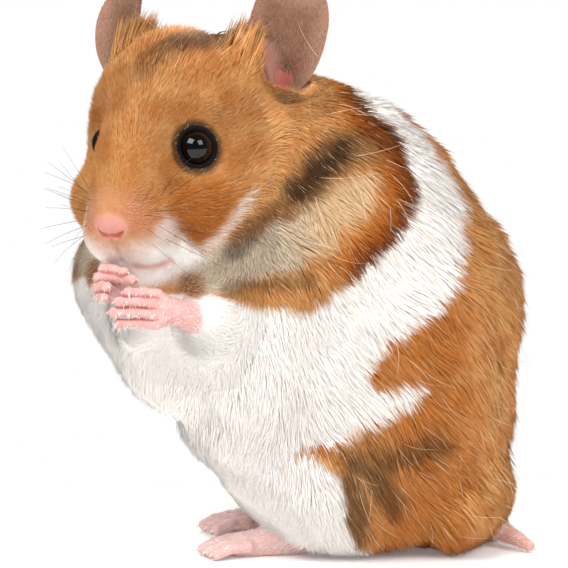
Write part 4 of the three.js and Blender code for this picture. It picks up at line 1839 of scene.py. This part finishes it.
def coat_patches(surface, middle, kind, density, most):
    """The chosen triangles in patches of at most so many tufts, up the right side and then up the left."""
    spine_x, spine_y = np.array(SPINE[::-1]).T
    side = middle[:, 0] - np.interp(middle[:, 1], spine_y, spine_x)
    order = np.argsort(np.where(kind, middle[:, 2] + SIDES_APART * (side > 0), np.inf))[: kind.sum()]
    running = np.cumsum((areas(surface) * density)[order])
    parts = int(np.ceil(running[-1] / most))
    for part in range(parts):
        after, until = running[-1] * part / parts, running[-1] * (part + 1) / parts
        yield np.sort(order[(running > after) & (running <= until)])


class HAMSTER_OT_coat(Operator):
    """Lays the coat over the skin"""

    bl_idname = "hamster.coat"
    bl_label = "Coat"

    def execute(self, context):
        surface = skin_surface(bpy.data.objects["skin"])
        middle = surface[0].mean(1)
        length = hair_length(middle)
        density = coat_density(middle, length)
        finish = hair_finish()
        seed = COAT_SEED
        for kind, chosen in (("long", length > LONG_HAIR), ("short", length <= LONG_HAIR)):
            patches = coat_patches(surface, middle, chosen, density, TUFTS_A_PIECE[kind])
            for number, patch in enumerate(patches, 1):
                t = tufts([layer[patch] for layer in surface], density[patch], seed)
                width = np.clip(0.06 + 0.0095 * t["length"], *TUFT_WIDTH)
                width = width * (1 - 0.4 * skin_marks(t["root"])["cup"])
                tuft_mesh(f"coat_{kind}_{number}", t, finish, kind == "long", width)
                seed += 1
        return {"FINISHED"}


class HAMSTER_PT_panel(Panel):
    """Lists the steps that build the hamster"""

    bl_label = "Sitting hamster"
    bl_space_type = "VIEW_3D"
    bl_region_type = "UI"
    bl_category = "Hamster"

    def draw(self, context):
        for step in STEPS:
            self.layout.operator(step.bl_idname)


STEPS = (
    HAMSTER_OT_stage,
    HAMSTER_OT_skin,
    HAMSTER_OT_eyes,
    HAMSTER_OT_claws,
    HAMSTER_OT_whiskers,
    HAMSTER_OT_coat,
    HAMSTER_OT_guard_hairs,
)
GROUPS = {
    "hamster_stage": HamsterStage,
    "hamster_coat": HamsterCoat,
    "hamster_hair": HamsterHair,
    "hamster_skin": HamsterSkin,
}


def register():
    for group in (*GROUPS.values(), *STEPS, HAMSTER_PT_panel):
        bpy.utils.register_class(group)
    for name, group in GROUPS.items():
        setattr(bpy.types.Scene, name, PointerProperty(type=group))


def unregister():
    for name in GROUPS:
        delattr(bpy.types.Scene, name)
    for group in reversed((*GROUPS.values(), *STEPS, HAMSTER_PT_panel)):
        bpy.utils.unregister_class(group)


def main():
    register()
    for step in STEPS:
        family, call = step.bl_idname.split(".")
        getattr(getattr(bpy.ops, family), call)()


if __name__ == "__main__":
    main()
